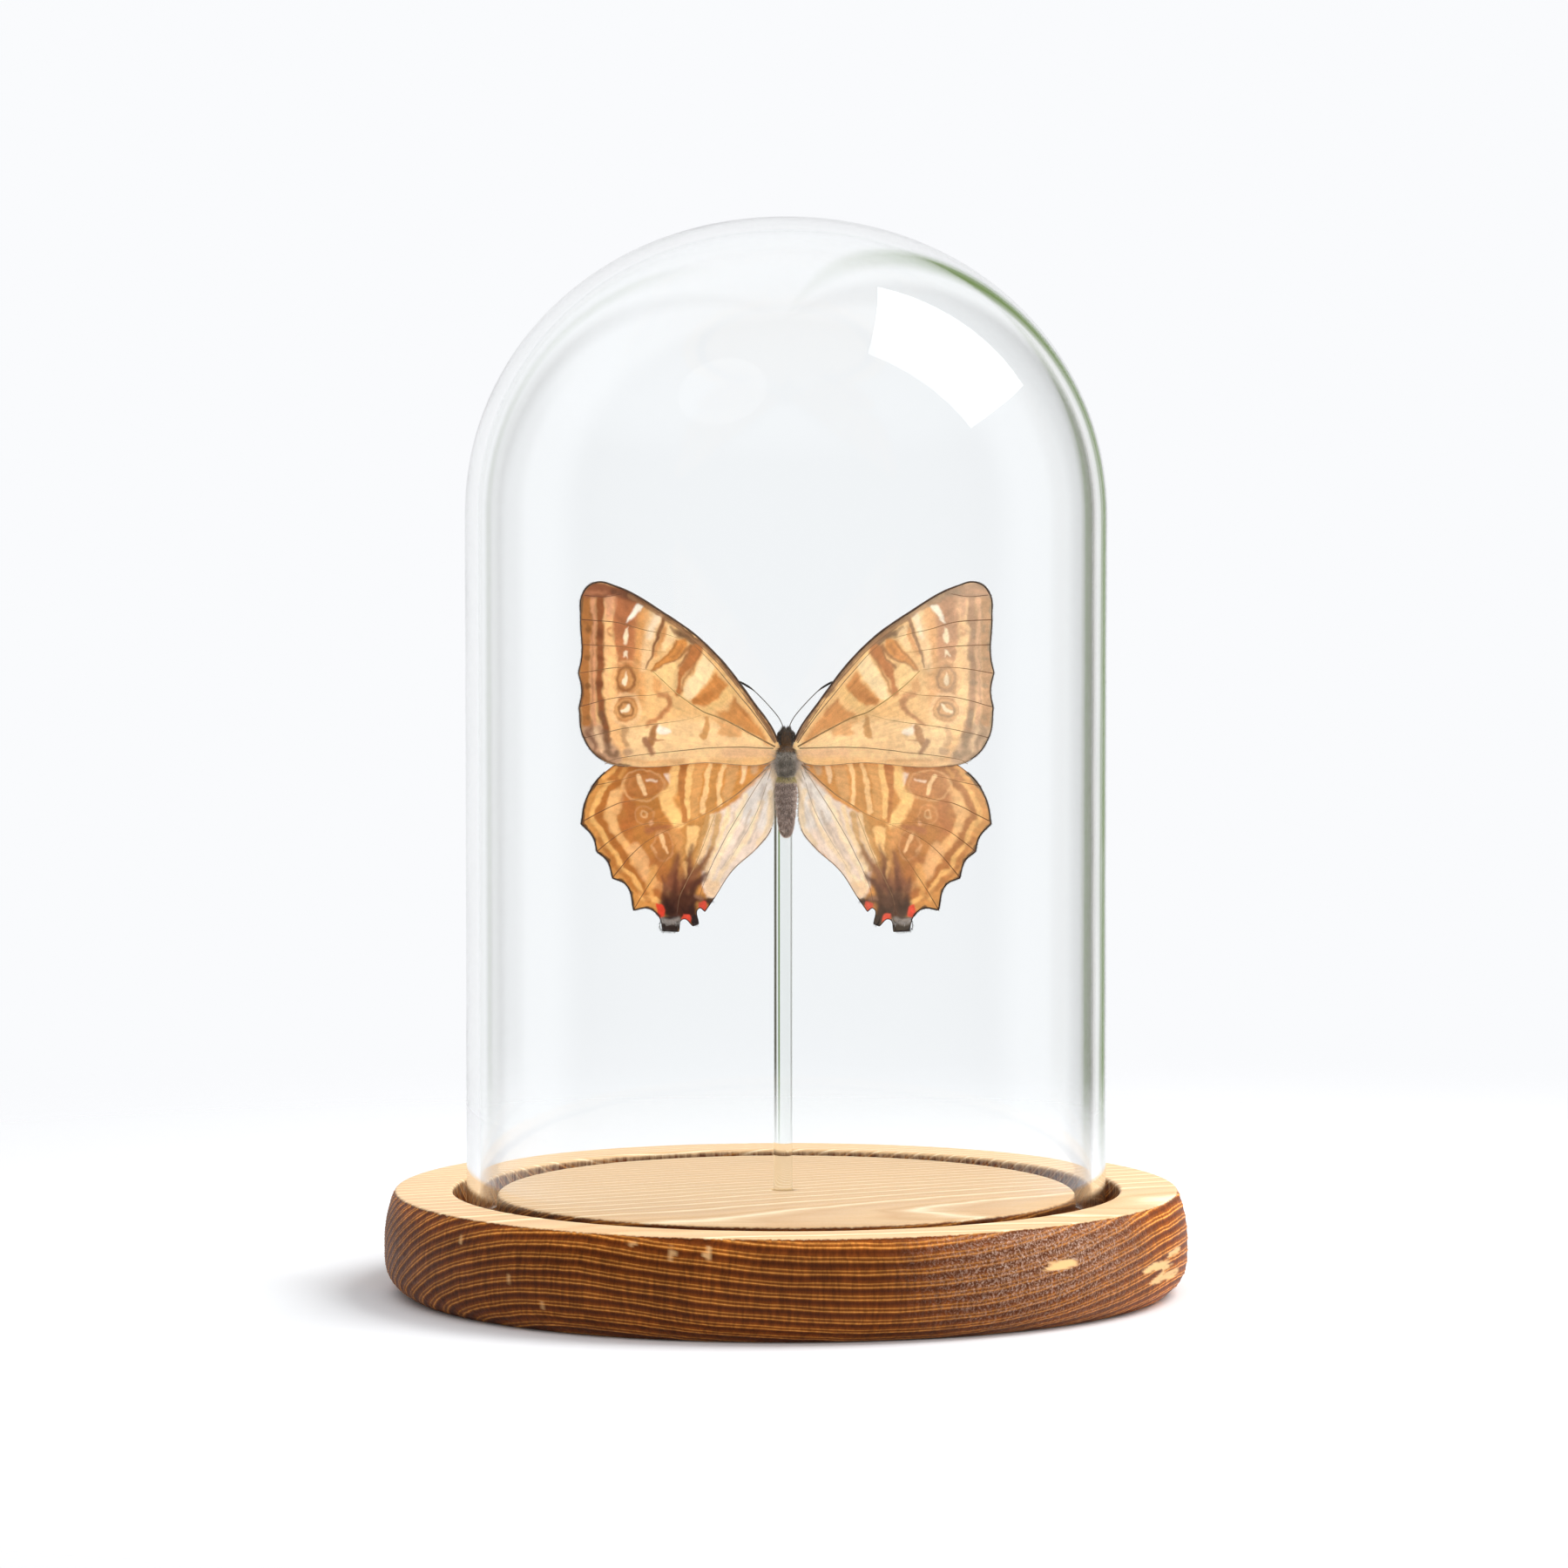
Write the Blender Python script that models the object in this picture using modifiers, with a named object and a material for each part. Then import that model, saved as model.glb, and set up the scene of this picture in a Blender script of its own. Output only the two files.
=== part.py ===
"""A spread butterfly on a clear rod, under a glass dome that stands in the groove of a turned pine base.

Units are metres, +Z is up, and the viewer stands at -Y. The origin is the centre of the base's underside.
The butterfly hangs upright with its upper side towards -Y, in front of the rod.
"""

import math

import bmesh
import bpy
from mathutils import Matrix, Vector

MM = 0.001

# Turned pine base
BASE_RADIUS = 75.0 * MM
BASE_HEIGHT = 19.0 * MM
BASE_WIDEST_HEIGHT = 9.5 * MM
TOP_EDGE_RADIUS = 73.1 * MM
FOOT_RADIUS = 70.6 * MM
EDGE_ROUND = 0.6 * MM
GROOVE_OUTER_RADIUS = 62.2 * MM
GROOVE_DEPTH = 6.0 * MM
PLATEAU_RADIUS = 54.0 * MM
PLATEAU_DROP = 0.2 * MM
PLATEAU_ROUND = 0.9 * MM

# Glass dome
DOME_RADIUS = 59.6 * MM
DOME_TOP = 200.0 * MM
CROWN_HEIGHT = 55.5 * MM
CROWN_SQUARENESS = 2.05
GLASS_THICKNESS = 2.5 * MM

# Clear rod and its bead of glue
ROD_X = -0.6 * MM
ROD_RADIUS = 1.75 * MM
ROD_HOLE_DEPTH = 10.0 * MM
GLUE_RADIUS = 1.5 * MM
GLUE_Y = -0.8 * MM

# Butterfly: the wing joint is the height where the forewings leave the thorax
WING_JOINT_HEIGHT = 101.6 * MM
BODY_Y = -4.9 * MM
WING_LIFT = math.radians(5.0)
WING_THICKNESS = 0.5 * MM
FOREWING_OFFSET = -0.5 * MM
HINDWING_OFFSET = 0.4 * MM
THORAX_HALF = Vector((2.2, 2.3, 3.15)) * MM
THORAX_DROP = 2.35 * MM
HEAD_HALF = Vector((1.85, 1.5, 1.22)) * MM
HEAD_RISE = 2.35 * MM
ABDOMEN_TOP = -5.8 * MM
ABDOMEN_LENGTH = 10.9 * MM
ABDOMEN_RADIUS = 2.0 * MM
ANTENNA_RADIUS = 0.15 * MM
ANTENNA_CLUB = 0.26 * MM
LEG_RADIUS = 0.16 * MM

GAP = 0.3 * MM
TURN_STEPS = 64
SMALL_TURN_STEPS = 16
MERGE_DISTANCE = 0.00001
CUTTER_OVERSHOOT = 2.0 * MM

GROOVE_FLOOR = BASE_HEIGHT - GROOVE_DEPTH
PLATEAU_TOP = BASE_HEIGHT - PLATEAU_DROP
ROD_BOTTOM = PLATEAU_TOP - ROD_HOLE_DEPTH + GAP
GLUE_CENTRE = Vector((ROD_X, GLUE_Y, WING_JOINT_HEIGHT - 1.2 * MM))
ROD_TOP = GLUE_CENTRE.z - GLUE_RADIUS - GAP

# Wing outlines, in millimetres outward from the body's middle line and up from the wing joint.
# "smooth" points are rounded and "sharp" points are corners.
FOREWING_OUTLINE = (
    ("smooth", 1.6, 0.9),
    ("smooth", 6.3, 8.6),
    ("smooth", 14.7, 18.9),
    ("smooth", 23.1, 25.2),
    ("smooth", 31.5, 29.9),
    ("smooth", 35.4, 30.6),
    ("smooth", 37.6, 28.6),
    ("smooth", 38.0, 24.2),
    ("smooth", 37.8, 17.0),
    ("sharp", 38.4, 14.0),
    ("smooth", 37.8, 10.7),
    ("sharp", 38.3, 7.4),
    ("smooth", 37.5, 2.0),
    ("smooth", 34.2, -2.1),
    ("smooth", 29.2, -3.4),
    ("smooth", 16.0, -2.9),
    ("smooth", 2.6, -0.9),
)
HINDWING_OUTLINE = (
    ("smooth", 2.9, -1.9),
    ("smooth", 12.0, 0.2),
    ("smooth", 25.0, -0.6),
    ("smooth", 33.6, -4.6),
    ("smooth", 37.0, -9.4),
    ("sharp", 38.0, -14.1),
    ("smooth", 35.8, -16.6),
    ("sharp", 35.1, -19.3),
    ("smooth", 33.2, -21.0),
    ("sharp", 32.2, -24.2),
    ("smooth", 29.6, -25.6),
    ("sharp", 28.3, -30.2),
    ("smooth", 25.6, -29.9),
    ("smooth", 23.7, -31.4),
    ("sharp", 22.9, -34.1),
    ("sharp", 20.0, -34.3),
    ("smooth", 19.2, -32.0),
    ("sharp", 17.3, -33.3),
    ("sharp", 16.3, -32.9),
    ("smooth", 16.2, -30.0),
    ("sharp", 15.1, -30.6),
    ("smooth", 13.3, -28.0),
    ("smooth", 10.0, -23.0),
    ("smooth", 5.0, -18.4),
    ("smooth", 2.7, -15.4),
    ("smooth", 2.6, -9.0),
)

# Antenna route: out from the middle line, forward from the body's axis, up from the wing joint.
ANTENNA_ROUTE = (
    (0.9, -0.6, 4.1),
    (1.6, -0.9, 5.2),
    (3.4, -1.3, 7.4),
    (5.6, -1.4, 9.8),
    (6.8, -1.4, 10.9),
    (8.6, -1.3, 12.3),
)
LEG_ROWS = ("front", "middle", "hind")


def clear_scene():
    for obj in list(bpy.data.objects):
        bpy.data.objects.remove(obj, do_unlink=True)


def new_collection(name):
    collection = bpy.data.collections.new(name)
    bpy.context.scene.collection.children.link(collection)
    return collection


def add_object(name, data, collection, material=None):
    obj = bpy.data.objects.new(name, data)
    collection.objects.link(obj)
    if material:
        data.materials.append(material)
    return obj


def make_material(name, color, roughness, transmission=0.0, ior=1.5):
    material = bpy.data.materials.new(name)
    material.use_nodes = True
    shader = material.node_tree.nodes["Principled BSDF"]
    shader.inputs["Base Color"].default_value = (*color, 1.0)
    shader.inputs["Roughness"].default_value = roughness
    shader.inputs["Metallic"].default_value = 0.0
    shader.inputs["Transmission Weight"].default_value = transmission
    shader.inputs["IOR"].default_value = ior
    return material


def round_corner(centre_r, centre_z, radius, start, end, steps=3):
    """Points of a quarter round in the profile plane, from one angle to another in degrees."""
    angles = [math.radians(start + (end - start) * i / steps) for i in range(steps + 1)]
    return [(centre_r + radius * math.cos(a), centre_z + radius * math.sin(a)) for a in angles]


def turned_object(name, profile, collection, material=None, steps=TURN_STEPS):
    """A body turned about Z from a profile of (radius, height) that runs top to bottom."""
    mesh = bpy.data.meshes.new(name)
    points = [(radius, 0.0, height) for radius, height in profile]
    mesh.from_pydata(points, [(i, i + 1) for i in range(len(points) - 1)], [])
    obj = add_object(name, mesh, collection, material)
    screw = obj.modifiers.new("turn", "SCREW")
    screw.steps = steps
    screw.render_steps = steps
    screw.use_merge_vertices = True
    screw.merge_threshold = MERGE_DISTANCE
    screw.use_smooth_shade = True
    return obj


def ellipsoid(name, half, centre, collection, material, segments=16, rings=10):
    mesh = bpy.data.meshes.new(name)
    bm = bmesh.new()
    shape = Matrix.Translation(centre) @ Matrix.Diagonal((*half, 1.0))
    bmesh.ops.create_uvsphere(bm, u_segments=segments, v_segments=rings, radius=1.0, matrix=shape)
    bm.to_mesh(mesh)
    bm.free()
    mesh.shade_smooth()
    return add_object(name, mesh, collection, material)


def tapered_wire(name, points, radii, collection, material, sides=2):
    """A thin limb through the points, as thick as the radii at each."""
    curve = bpy.data.curves.new(name, "CURVE")
    curve.dimensions = "3D"
    curve.bevel_depth = 1.0
    curve.bevel_resolution = sides
    curve.use_fill_caps = True
    spline = curve.splines.new("POLY")
    spline.points.add(len(points) - 1)
    for point, position, radius in zip(spline.points, points, radii):
        point.co = (*position, 1.0)
        point.radius = radius
    return add_object(name, curve, collection, material)


def wing(name, outline, side, offset, collection, material):
    """A flat wing that stands upright and leans towards the viewer by the wing lift."""
    curve = bpy.data.curves.new(name, "CURVE")
    curve.dimensions = "2D"
    curve.fill_mode = "BOTH"
    curve.extrude = WING_THICKNESS / 2
    curve.resolution_u = 3
    spline = curve.splines.new("BEZIER")
    spline.bezier_points.add(len(outline) - 1)
    spline.use_cyclic_u = True
    for point, (corner, outward, up) in zip(spline.bezier_points, outline):
        point.co = (side * outward * MM, up * MM, 0.0)
        handle = "AUTO" if corner == "smooth" else "VECTOR"
        point.handle_left_type = handle
        point.handle_right_type = handle
    obj = add_object(name, curve, collection, material)
    obj.rotation_euler = (math.radians(90), 0.0, -side * WING_LIFT)
    obj.location = (0.0, BODY_Y + offset, WING_JOINT_HEIGHT)
    return obj


def base_side_radius(height):
    """The side bulges out to the widest height and tucks in more sharply towards the foot."""
    rise = height - BASE_WIDEST_HEIGHT
    if rise > 0:
        reach = rise / (BASE_HEIGHT - BASE_WIDEST_HEIGHT)
        return BASE_RADIUS - (BASE_RADIUS - TOP_EDGE_RADIUS) * reach**2
    reach = -rise / BASE_WIDEST_HEIGHT
    return BASE_RADIUS - (BASE_RADIUS - FOOT_RADIUS) * reach**4


def make_base(collection, cutters, material):
    side_heights = [BASE_HEIGHT - EDGE_ROUND - step * MM for step in (1.5, 4.0, 6.5, 8.9)]
    foot_heights = [step * MM for step in (6.0, 3.8, 2.2, 1.0, 0.3)]
    profile = [(0.0, PLATEAU_TOP)]
    profile += round_corner(PLATEAU_RADIUS - PLATEAU_ROUND, PLATEAU_TOP - PLATEAU_ROUND, PLATEAU_ROUND, 90, 0)
    profile += [(PLATEAU_RADIUS, GROOVE_FLOOR), (GROOVE_OUTER_RADIUS, GROOVE_FLOOR)]
    profile += round_corner(GROOVE_OUTER_RADIUS + EDGE_ROUND, BASE_HEIGHT - EDGE_ROUND, EDGE_ROUND, 180, 90)
    profile += round_corner(TOP_EDGE_RADIUS - EDGE_ROUND, BASE_HEIGHT - EDGE_ROUND, EDGE_ROUND, 90, 0)
    profile += [(base_side_radius(height), height) for height in side_heights + foot_heights]
    profile += [(FOOT_RADIUS, 0.0), (0.0, 0.0)]
    base = turned_object("wooden_base", profile, collection, material)

    hole_radius = ROD_RADIUS + GAP
    hole_floor = PLATEAU_TOP - ROD_HOLE_DEPTH
    hole_length = ROD_HOLE_DEPTH + CUTTER_OVERSHOOT
    mesh = bpy.data.meshes.new("rod_hole")
    bm = bmesh.new()
    bmesh.ops.create_cone(
        bm,
        cap_ends=True,
        segments=24,
        radius1=hole_radius,
        radius2=hole_radius,
        depth=hole_length,
        matrix=Matrix.Translation((ROD_X, 0.0, hole_floor + hole_length / 2)),
    )
    bm.to_mesh(mesh)
    bm.free()
    cutter = add_object("rod_hole", mesh, cutters)
    cutter.hide_render = True
    cutter.display_type = "WIRE"
    cut = base.modifiers.new("rod_hole", "BOOLEAN")
    cut.operation = "DIFFERENCE"
    cut.solver = "EXACT"
    cut.object = cutter
    return base


def make_dome(collection, material):
    crown_base = DOME_TOP - CROWN_HEIGHT
    power = 2 / CROWN_SQUARENESS
    profile = []
    for degrees in (90, 82, 73, 64, 55, 46, 37, 28, 19, 9.5, 0):
        angle = math.radians(degrees)
        radius = DOME_RADIUS * max(math.cos(angle), 0.0) ** power if degrees < 90 else 0.0
        profile.append((radius, crown_base + CROWN_HEIGHT * math.sin(angle) ** power))
    profile += [(DOME_RADIUS, 80.0 * MM), (DOME_RADIUS, GROOVE_FLOOR + GAP)]
    dome = turned_object("glass_dome", profile, collection, material)
    shell = dome.modifiers.new("wall", "SOLIDIFY")
    shell.thickness = GLASS_THICKNESS
    shell.offset = -1.0
    shell.use_even_offset = True
    return dome


def make_rod(collection, material):
    profile = [(0.0, ROD_TOP), (ROD_RADIUS, ROD_TOP), (ROD_RADIUS, ROD_BOTTOM), (0.0, ROD_BOTTOM)]
    rod = turned_object("support_rod", profile, collection, material, steps=24)
    rod.location.x = ROD_X
    return rod


def make_abdomen(collection, material):
    """Narrow waist, fullest near the front and tapering to a blunt tip that points down."""
    shares = ((0.0, 0.0), (0.0, 0.55), (0.08, 0.85), (0.2, 1.0), (0.45, 0.96), (0.7, 0.78), (0.88, 0.55))
    profile = [(ABDOMEN_RADIUS * width, ABDOMEN_TOP - ABDOMEN_LENGTH * along) for along, width in shares]
    profile += [(ABDOMEN_RADIUS * 0.3, ABDOMEN_TOP - ABDOMEN_LENGTH * 0.97), (0.0, ABDOMEN_TOP - ABDOMEN_LENGTH)]
    abdomen = turned_object("abdomen", profile, collection, material, steps=SMALL_TURN_STEPS)
    abdomen.location = (0.0, BODY_Y, WING_JOINT_HEIGHT)
    return abdomen


def make_antenna(name, side, collection, material):
    points = [
        Vector((side * out * MM, BODY_Y + forward * MM, WING_JOINT_HEIGHT + up * MM))
        for out, forward, up in ANTENNA_ROUTE
    ]
    radii = [ANTENNA_RADIUS] * (len(points) - 2) + [ANTENNA_CLUB] * 2
    return tapered_wire(name, points, radii, collection, material)


def make_leg(name, side, row, collection, material):
    """A folded leg: out from the thorax to the knee, then back down beside the rod."""
    root_drop = (1.2 + 1.5 * row) * MM
    knee_out = (5.0 - 0.7 * row) * MM
    height = WING_JOINT_HEIGHT - root_drop
    points = [
        Vector((side * 1.8 * MM, BODY_Y + 2.05 * MM, height)),
        Vector((side * knee_out, BODY_Y + 2.9 * MM, height + 0.5 * MM)),
        Vector((side * (knee_out - 0.3 * MM), BODY_Y + 3.6 * MM, height - 2.9 * MM)),
        Vector((side * (knee_out - 0.9 * MM), BODY_Y + 3.8 * MM, height - 5.6 * MM)),
    ]
    radii = [LEG_RADIUS * 1.3, LEG_RADIUS * 1.2, LEG_RADIUS, LEG_RADIUS * 0.7]
    return tapered_wire(name, points, radii, collection, material)


def make_butterfly(collection, materials):
    centre = Vector((0.0, BODY_Y, WING_JOINT_HEIGHT))
    body = materials["body"]
    ellipsoid("head", HEAD_HALF, centre + Vector((0, 0, HEAD_RISE)), collection, body, rings=8)
    ellipsoid("thorax", THORAX_HALF, centre - Vector((0, 0, THORAX_DROP)), collection, body)
    make_abdomen(collection, body)
    for side, word in ((-1, "left"), (1, "right")):
        wing(f"forewing_{word}", FOREWING_OUTLINE, side, FOREWING_OFFSET, collection, materials["wing"])
        wing(f"hindwing_{word}", HINDWING_OUTLINE, side, HINDWING_OFFSET, collection, materials["wing"])
        make_antenna(f"antenna_{word}", side, collection, materials["limb"])
        for row, row_word in enumerate(LEG_ROWS):
            make_leg(f"leg_{row_word}_{word}", side, row, collection, materials["limb"])


def main():
    clear_scene()
    parts = new_collection("insect_in_glass_dome")
    cutters = new_collection("cutters")
    materials = {
        "pine": make_material("scorched_pine", (0.22, 0.07, 0.02), 0.5),
        "glass": make_material("clear_glass", (0.97, 0.99, 0.98), 0.02, transmission=1.0, ior=1.5),
        "rod": make_material("clear_acrylic", (0.93, 0.96, 0.94), 0.05, transmission=1.0, ior=1.49),
        "glue": make_material("clear_adhesive", (0.9, 0.88, 0.8), 0.15, transmission=0.9, ior=1.48),
        "body": make_material("insect_hair", (0.22, 0.19, 0.16), 0.9),
        "wing": make_material("wing_scales", (0.62, 0.33, 0.11), 0.7),
        "limb": make_material("dark_limb", (0.03, 0.022, 0.018), 0.6),
    }
    make_base(parts, cutters, materials["pine"])
    make_dome(parts, materials["glass"])
    make_rod(parts, materials["rod"])
    ellipsoid("glue_dab", (GLUE_RADIUS,) * 3, GLUE_CENTRE, parts, materials["glue"], segments=12, rings=8)
    make_butterfly(parts, materials)


main()
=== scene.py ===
"""Butterfly in a glass dome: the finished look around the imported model.

A spread butterfly hangs on a clear rod under a blown glass dome, which stands in the groove of a turned and
scorched pine base. Every length in the classes is in millimetres unless its comment says otherwise. The
viewer stands at -Y, +Z is up and the origin is the centre of the base's underside.
"""

import logging
import math
from abc import ABC, abstractmethod
from dataclasses import dataclass, field
from enum import Enum
from typing import Any, Callable, Mapping, Sequence

import bpy
import numpy as np
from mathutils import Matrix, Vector, geometry


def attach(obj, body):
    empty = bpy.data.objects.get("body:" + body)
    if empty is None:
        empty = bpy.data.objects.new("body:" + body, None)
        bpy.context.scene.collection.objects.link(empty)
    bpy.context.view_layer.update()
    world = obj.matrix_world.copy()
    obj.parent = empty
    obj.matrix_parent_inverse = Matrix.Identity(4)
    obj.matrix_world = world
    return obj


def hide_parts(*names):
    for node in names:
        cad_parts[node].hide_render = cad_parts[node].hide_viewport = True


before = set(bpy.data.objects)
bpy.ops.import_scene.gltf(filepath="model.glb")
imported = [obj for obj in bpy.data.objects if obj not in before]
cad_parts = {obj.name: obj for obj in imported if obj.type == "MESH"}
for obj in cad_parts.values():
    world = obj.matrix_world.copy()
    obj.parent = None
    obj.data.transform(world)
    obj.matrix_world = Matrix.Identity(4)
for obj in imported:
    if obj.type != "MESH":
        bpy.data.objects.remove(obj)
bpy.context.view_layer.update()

MM = 0.001
ROOT = "root"
WING_JOINT_HEIGHT = 101.6
BODY_Y = -4.9
BODY_CENTRE = np.array((0.0, BODY_Y, WING_JOINT_HEIGHT))

log = logging.getLogger("dome")

Point2 = tuple[float, float]
Point3 = tuple[float, float, float]
Rgb = tuple[float, float, float]
Array = np.ndarray
Mesh = bpy.types.Mesh
Object = bpy.types.Object
Socket = bpy.types.NodeSocket
Tree = bpy.types.NodeTree


# --- Numbers


def linear(colour: str) -> Rgb:
    """Turns an sRGB hex colour to linear light.

    Args:
        colour: Six hex digits after a hash.

    Returns:
        Red, green and blue, each from 0 to 1.
    """
    parts = [int(colour[i : i + 2], 16) / 255 for i in (1, 3, 5)]
    return tuple(p / 12.92 if p <= 0.04045 else ((p + 0.055) / 1.055) ** 2.4 for p in parts)


def rgba(colour: str) -> tuple[float, float, float, float]:
    """Linear colour with full alpha, as a node's colour socket takes it."""
    return (*linear(colour), 1.0)


def smoothstep(low: float, high: float, value: Array) -> Array:
    """Eases from 0 at low to 1 at high.

    Args:
        low: Value where the result is 0.
        high: Value where the result is 1.
        value: What is eased.

    Returns:
        Numbers from 0 to 1, in the shape of value.
    """
    t = np.clip((value - low) / (high - low), 0.0, 1.0)
    return t * t * (3 - 2 * t)


def value_noise(points: Array, cell: float, seed: int) -> Array:
    """Smooth random value between -1 and 1 at each point.

    Args:
        points: Points as rows of two or three coordinates.
        cell: Size of one random cell, in the points' unit.
        seed: Picks the random table.

    Returns:
        One value for each row.
    """
    rng = np.random.default_rng(seed)
    order = rng.permutation(256)
    heights = rng.uniform(-1.0, 1.0, 256)
    scaled = points / cell
    floor = np.floor(scaled).astype(int)
    part = scaled - floor
    part = part * part * (3 - 2 * part)
    total = np.zeros(len(points))
    dims = points.shape[1]
    for corner in range(2**dims):
        bits = [(corner >> axis) & 1 for axis in range(dims)]
        key = np.zeros(len(points), int)
        weight = np.ones(len(points))
        for axis, bit in enumerate(bits):
            key = order[(key + floor[:, axis] + bit) & 255]
            weight *= part[:, axis] if bit else 1 - part[:, axis]
        total += heights[key] * weight
    return total


def layered_noise(points: Array, cell: float, seed: int, layers: int = 3) -> Array:
    """Sum of value noises, each half the size and half the strength of the one before.

    Args:
        points: Points as rows.
        cell: Size of the largest cell.
        seed: Picks the random tables.
        layers: How many noises are summed.

    Returns:
        One value for each row, roughly between -1 and 1.
    """
    parts = [value_noise(points, cell / 2**i, seed + i) / 2**i for i in range(layers)]
    return np.sum(parts, axis=0) / 1.5


def path_distance(points: Array, path: Array) -> tuple[Array, Array]:
    """Distance from points to a path of straight runs, and how far along it the nearest place is.

    Args:
        points: Points as rows of two coordinates.
        path: The path's corners as rows.

    Returns:
        Distances, and shares of the path's length from 0 to 1.
    """
    lengths = np.linalg.norm(np.diff(path, axis=0), axis=1)
    starts = np.concatenate(([0.0], np.cumsum(lengths)))
    best = np.full(len(points), np.inf)
    along = np.zeros(len(points))
    for start, run, length, travelled in zip(path[:-1], np.diff(path, axis=0), lengths, starts):
        if length == 0:
            continue
        offset = points - start
        share = np.clip(offset @ run / length**2, 0.0, 1.0)
        distance = np.hypot(*(offset - share[:, None] * run).T)
        nearer = distance < best
        best = np.where(nearer, distance, best)
        along = np.where(nearer, travelled + share * length, along)
    return best, along / max(starts[-1], 1e-9)


def inside(points: Array, corners: Array) -> Array:
    """True for each point inside a closed polygon.

    Args:
        points: Points as rows of two coordinates.
        corners: The polygon's corners as rows.

    Returns:
        One truth value for each point.
    """
    found = np.zeros(len(points), bool)
    for (x0, y0), (x1, y1) in zip(corners, np.roll(corners, -1, axis=0)):
        if y0 == y1:
            continue
        crosses = (points[:, 1] < y0) != (points[:, 1] < y1)
        found ^= crosses & (points[:, 0] < (x1 - x0) * (points[:, 1] - y0) / (y1 - y0) + x0)
    return found


def smooth_path(points: Sequence[Sequence[float]], steps: int) -> Array:
    """A Catmull-Rom curve through points of any dimension.

    Args:
        points: Where the curve goes.
        steps: Pieces between each pair of points.

    Returns:
        The curve's points as rows.
    """
    given = np.array(points, float)
    padded = np.vstack((2 * given[0] - given[1], given, 2 * given[-1] - given[-2]))
    shares = np.linspace(0.0, 1.0, steps, endpoint=False)[:, None]
    runs = []
    for a, b, c, d in zip(padded, padded[1:], padded[2:], padded[3:]):
        runs.append(
            0.5 * (
                2 * b + (c - a) * shares + (
                    2 * a - 5 * b + 4 * c - d
                ) * shares**2 + (3 * b - a - 3 * c + d) * shares**3
            )
        )
    return np.vstack(runs + [given[-1:]])


# --- Meshes


@dataclass
class Skin:
    """Points and faces of one closed surface, in millimetres, with values stored at its points."""

    points: Array
    faces: list[tuple[int, ...]]
    values: dict[str, Array] = field(default_factory=dict)

    def mesh(self, name: str) -> Mesh:
        """Makes a Blender mesh in metres, smooth shaded, with each value as a point attribute.

        Args:
            name: Name of the mesh.

        Returns:
            The new mesh.
        """
        made = bpy.data.meshes.new(name)
        made.from_pydata((self.points * MM).tolist(), [], self.faces)
        for key, values in self.values.items():
            if values.ndim == 1:
                made.attributes.new(key, "FLOAT", "POINT").data.foreach_set(
                    "value", values.astype(np.float32),
                )
            elif key.endswith("colour"):
                full = np.hstack((values, np.ones((len(values), 1)))).astype(np.float32)
                made.attributes.new(key, "FLOAT_COLOR", "POINT").data.foreach_set("color", full.ravel())
            else:
                made.attributes.new(key, "FLOAT_VECTOR", "POINT").data.foreach_set(
                    "vector", values.astype(np.float32).ravel(),
                )
        made.shade_smooth()
        made.update()
        return made


def place(name: str, mesh: Mesh, material: bpy.types.Material | None) -> Object:
    """Links a mesh to the scene as an object at the origin.

    Args:
        name: Name of the object.
        mesh: Its mesh.
        material: Its only material, or None when the mesh has one already.

    Returns:
        The new object.
    """
    made = bpy.data.objects.new(name, mesh)
    bpy.context.scene.collection.objects.link(made)
    if material is not None:
        mesh.materials.clear()
        mesh.materials.append(material)
    return made


def turned(profile: Array, steps: int, centre_x: Array | None = None) -> Skin:
    """Turns a profile about the Z axis into a closed surface.

    Args:
        profile: Rows of radius and height. The first and last radius are 0, and it runs so that the outside
            is on its left when it is read with the axis on the left.
        steps: Points in each ring.
        centre_x: How far each ring's centre is moved along X.

    Returns:
        The turned surface.
    """
    angles = np.linspace(0.0, 2 * math.pi, steps, endpoint=False) + math.pi / 2
    shift = np.zeros(len(profile)) if centre_x is None else centre_x
    rings = profile[1:-1]
    x = shift[1:-1, None] + rings[:, :1] * np.cos(angles)
    y = rings[:, :1] * np.sin(angles)
    z = np.repeat(rings[:, 1:], steps, axis=1)
    points = np.stack((x, y, z), axis=2).reshape(-1, 3)
    ends = np.array([(shift[0], 0.0, profile[0, 1]), (shift[-1], 0.0, profile[-1, 1])])
    first, last = len(points), len(points) + 1
    faces = []
    for i in range(steps):
        j = (i + 1) % steps
        faces.append((first, i, j))
        for ring in range(len(rings) - 1):
            a, b = ring * steps, (ring + 1) * steps
            faces.append((a + i, b + i, b + j, a + j))
        a = (len(rings) - 1) * steps
        faces.append((a + j, a + i, last))
    return Skin(np.vstack((points, ends)), faces)


def point_normals(skin: Skin) -> Array:
    """Outward unit normal at each point of a surface."""
    made = bpy.data.meshes.new("measure")
    made.from_pydata(skin.points.tolist(), [], skin.faces)
    normals = np.zeros(len(skin.points) * 3, np.float32)
    made.vertices.foreach_get("normal", normals)
    bpy.data.meshes.remove(made)
    return normals.reshape(-1, 3).astype(float)


def quarter(centre: Point2, radius: float, start: float, end: float, steps: int = 8) -> list[Point2]:
    """Points of an arc in the profile plane.

    Args:
        centre: Radius and height of the arc's centre.
        radius: The arc's radius.
        start: First angle in degrees.
        end: Last angle in degrees.
        steps: Pieces in the arc.

    Returns:
        Radius and height of each point.
    """
    angles = np.radians(np.linspace(start, end, steps + 1))
    return [(centre[0] + radius * math.cos(a), centre[1] + radius * math.sin(a)) for a in angles]


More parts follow.
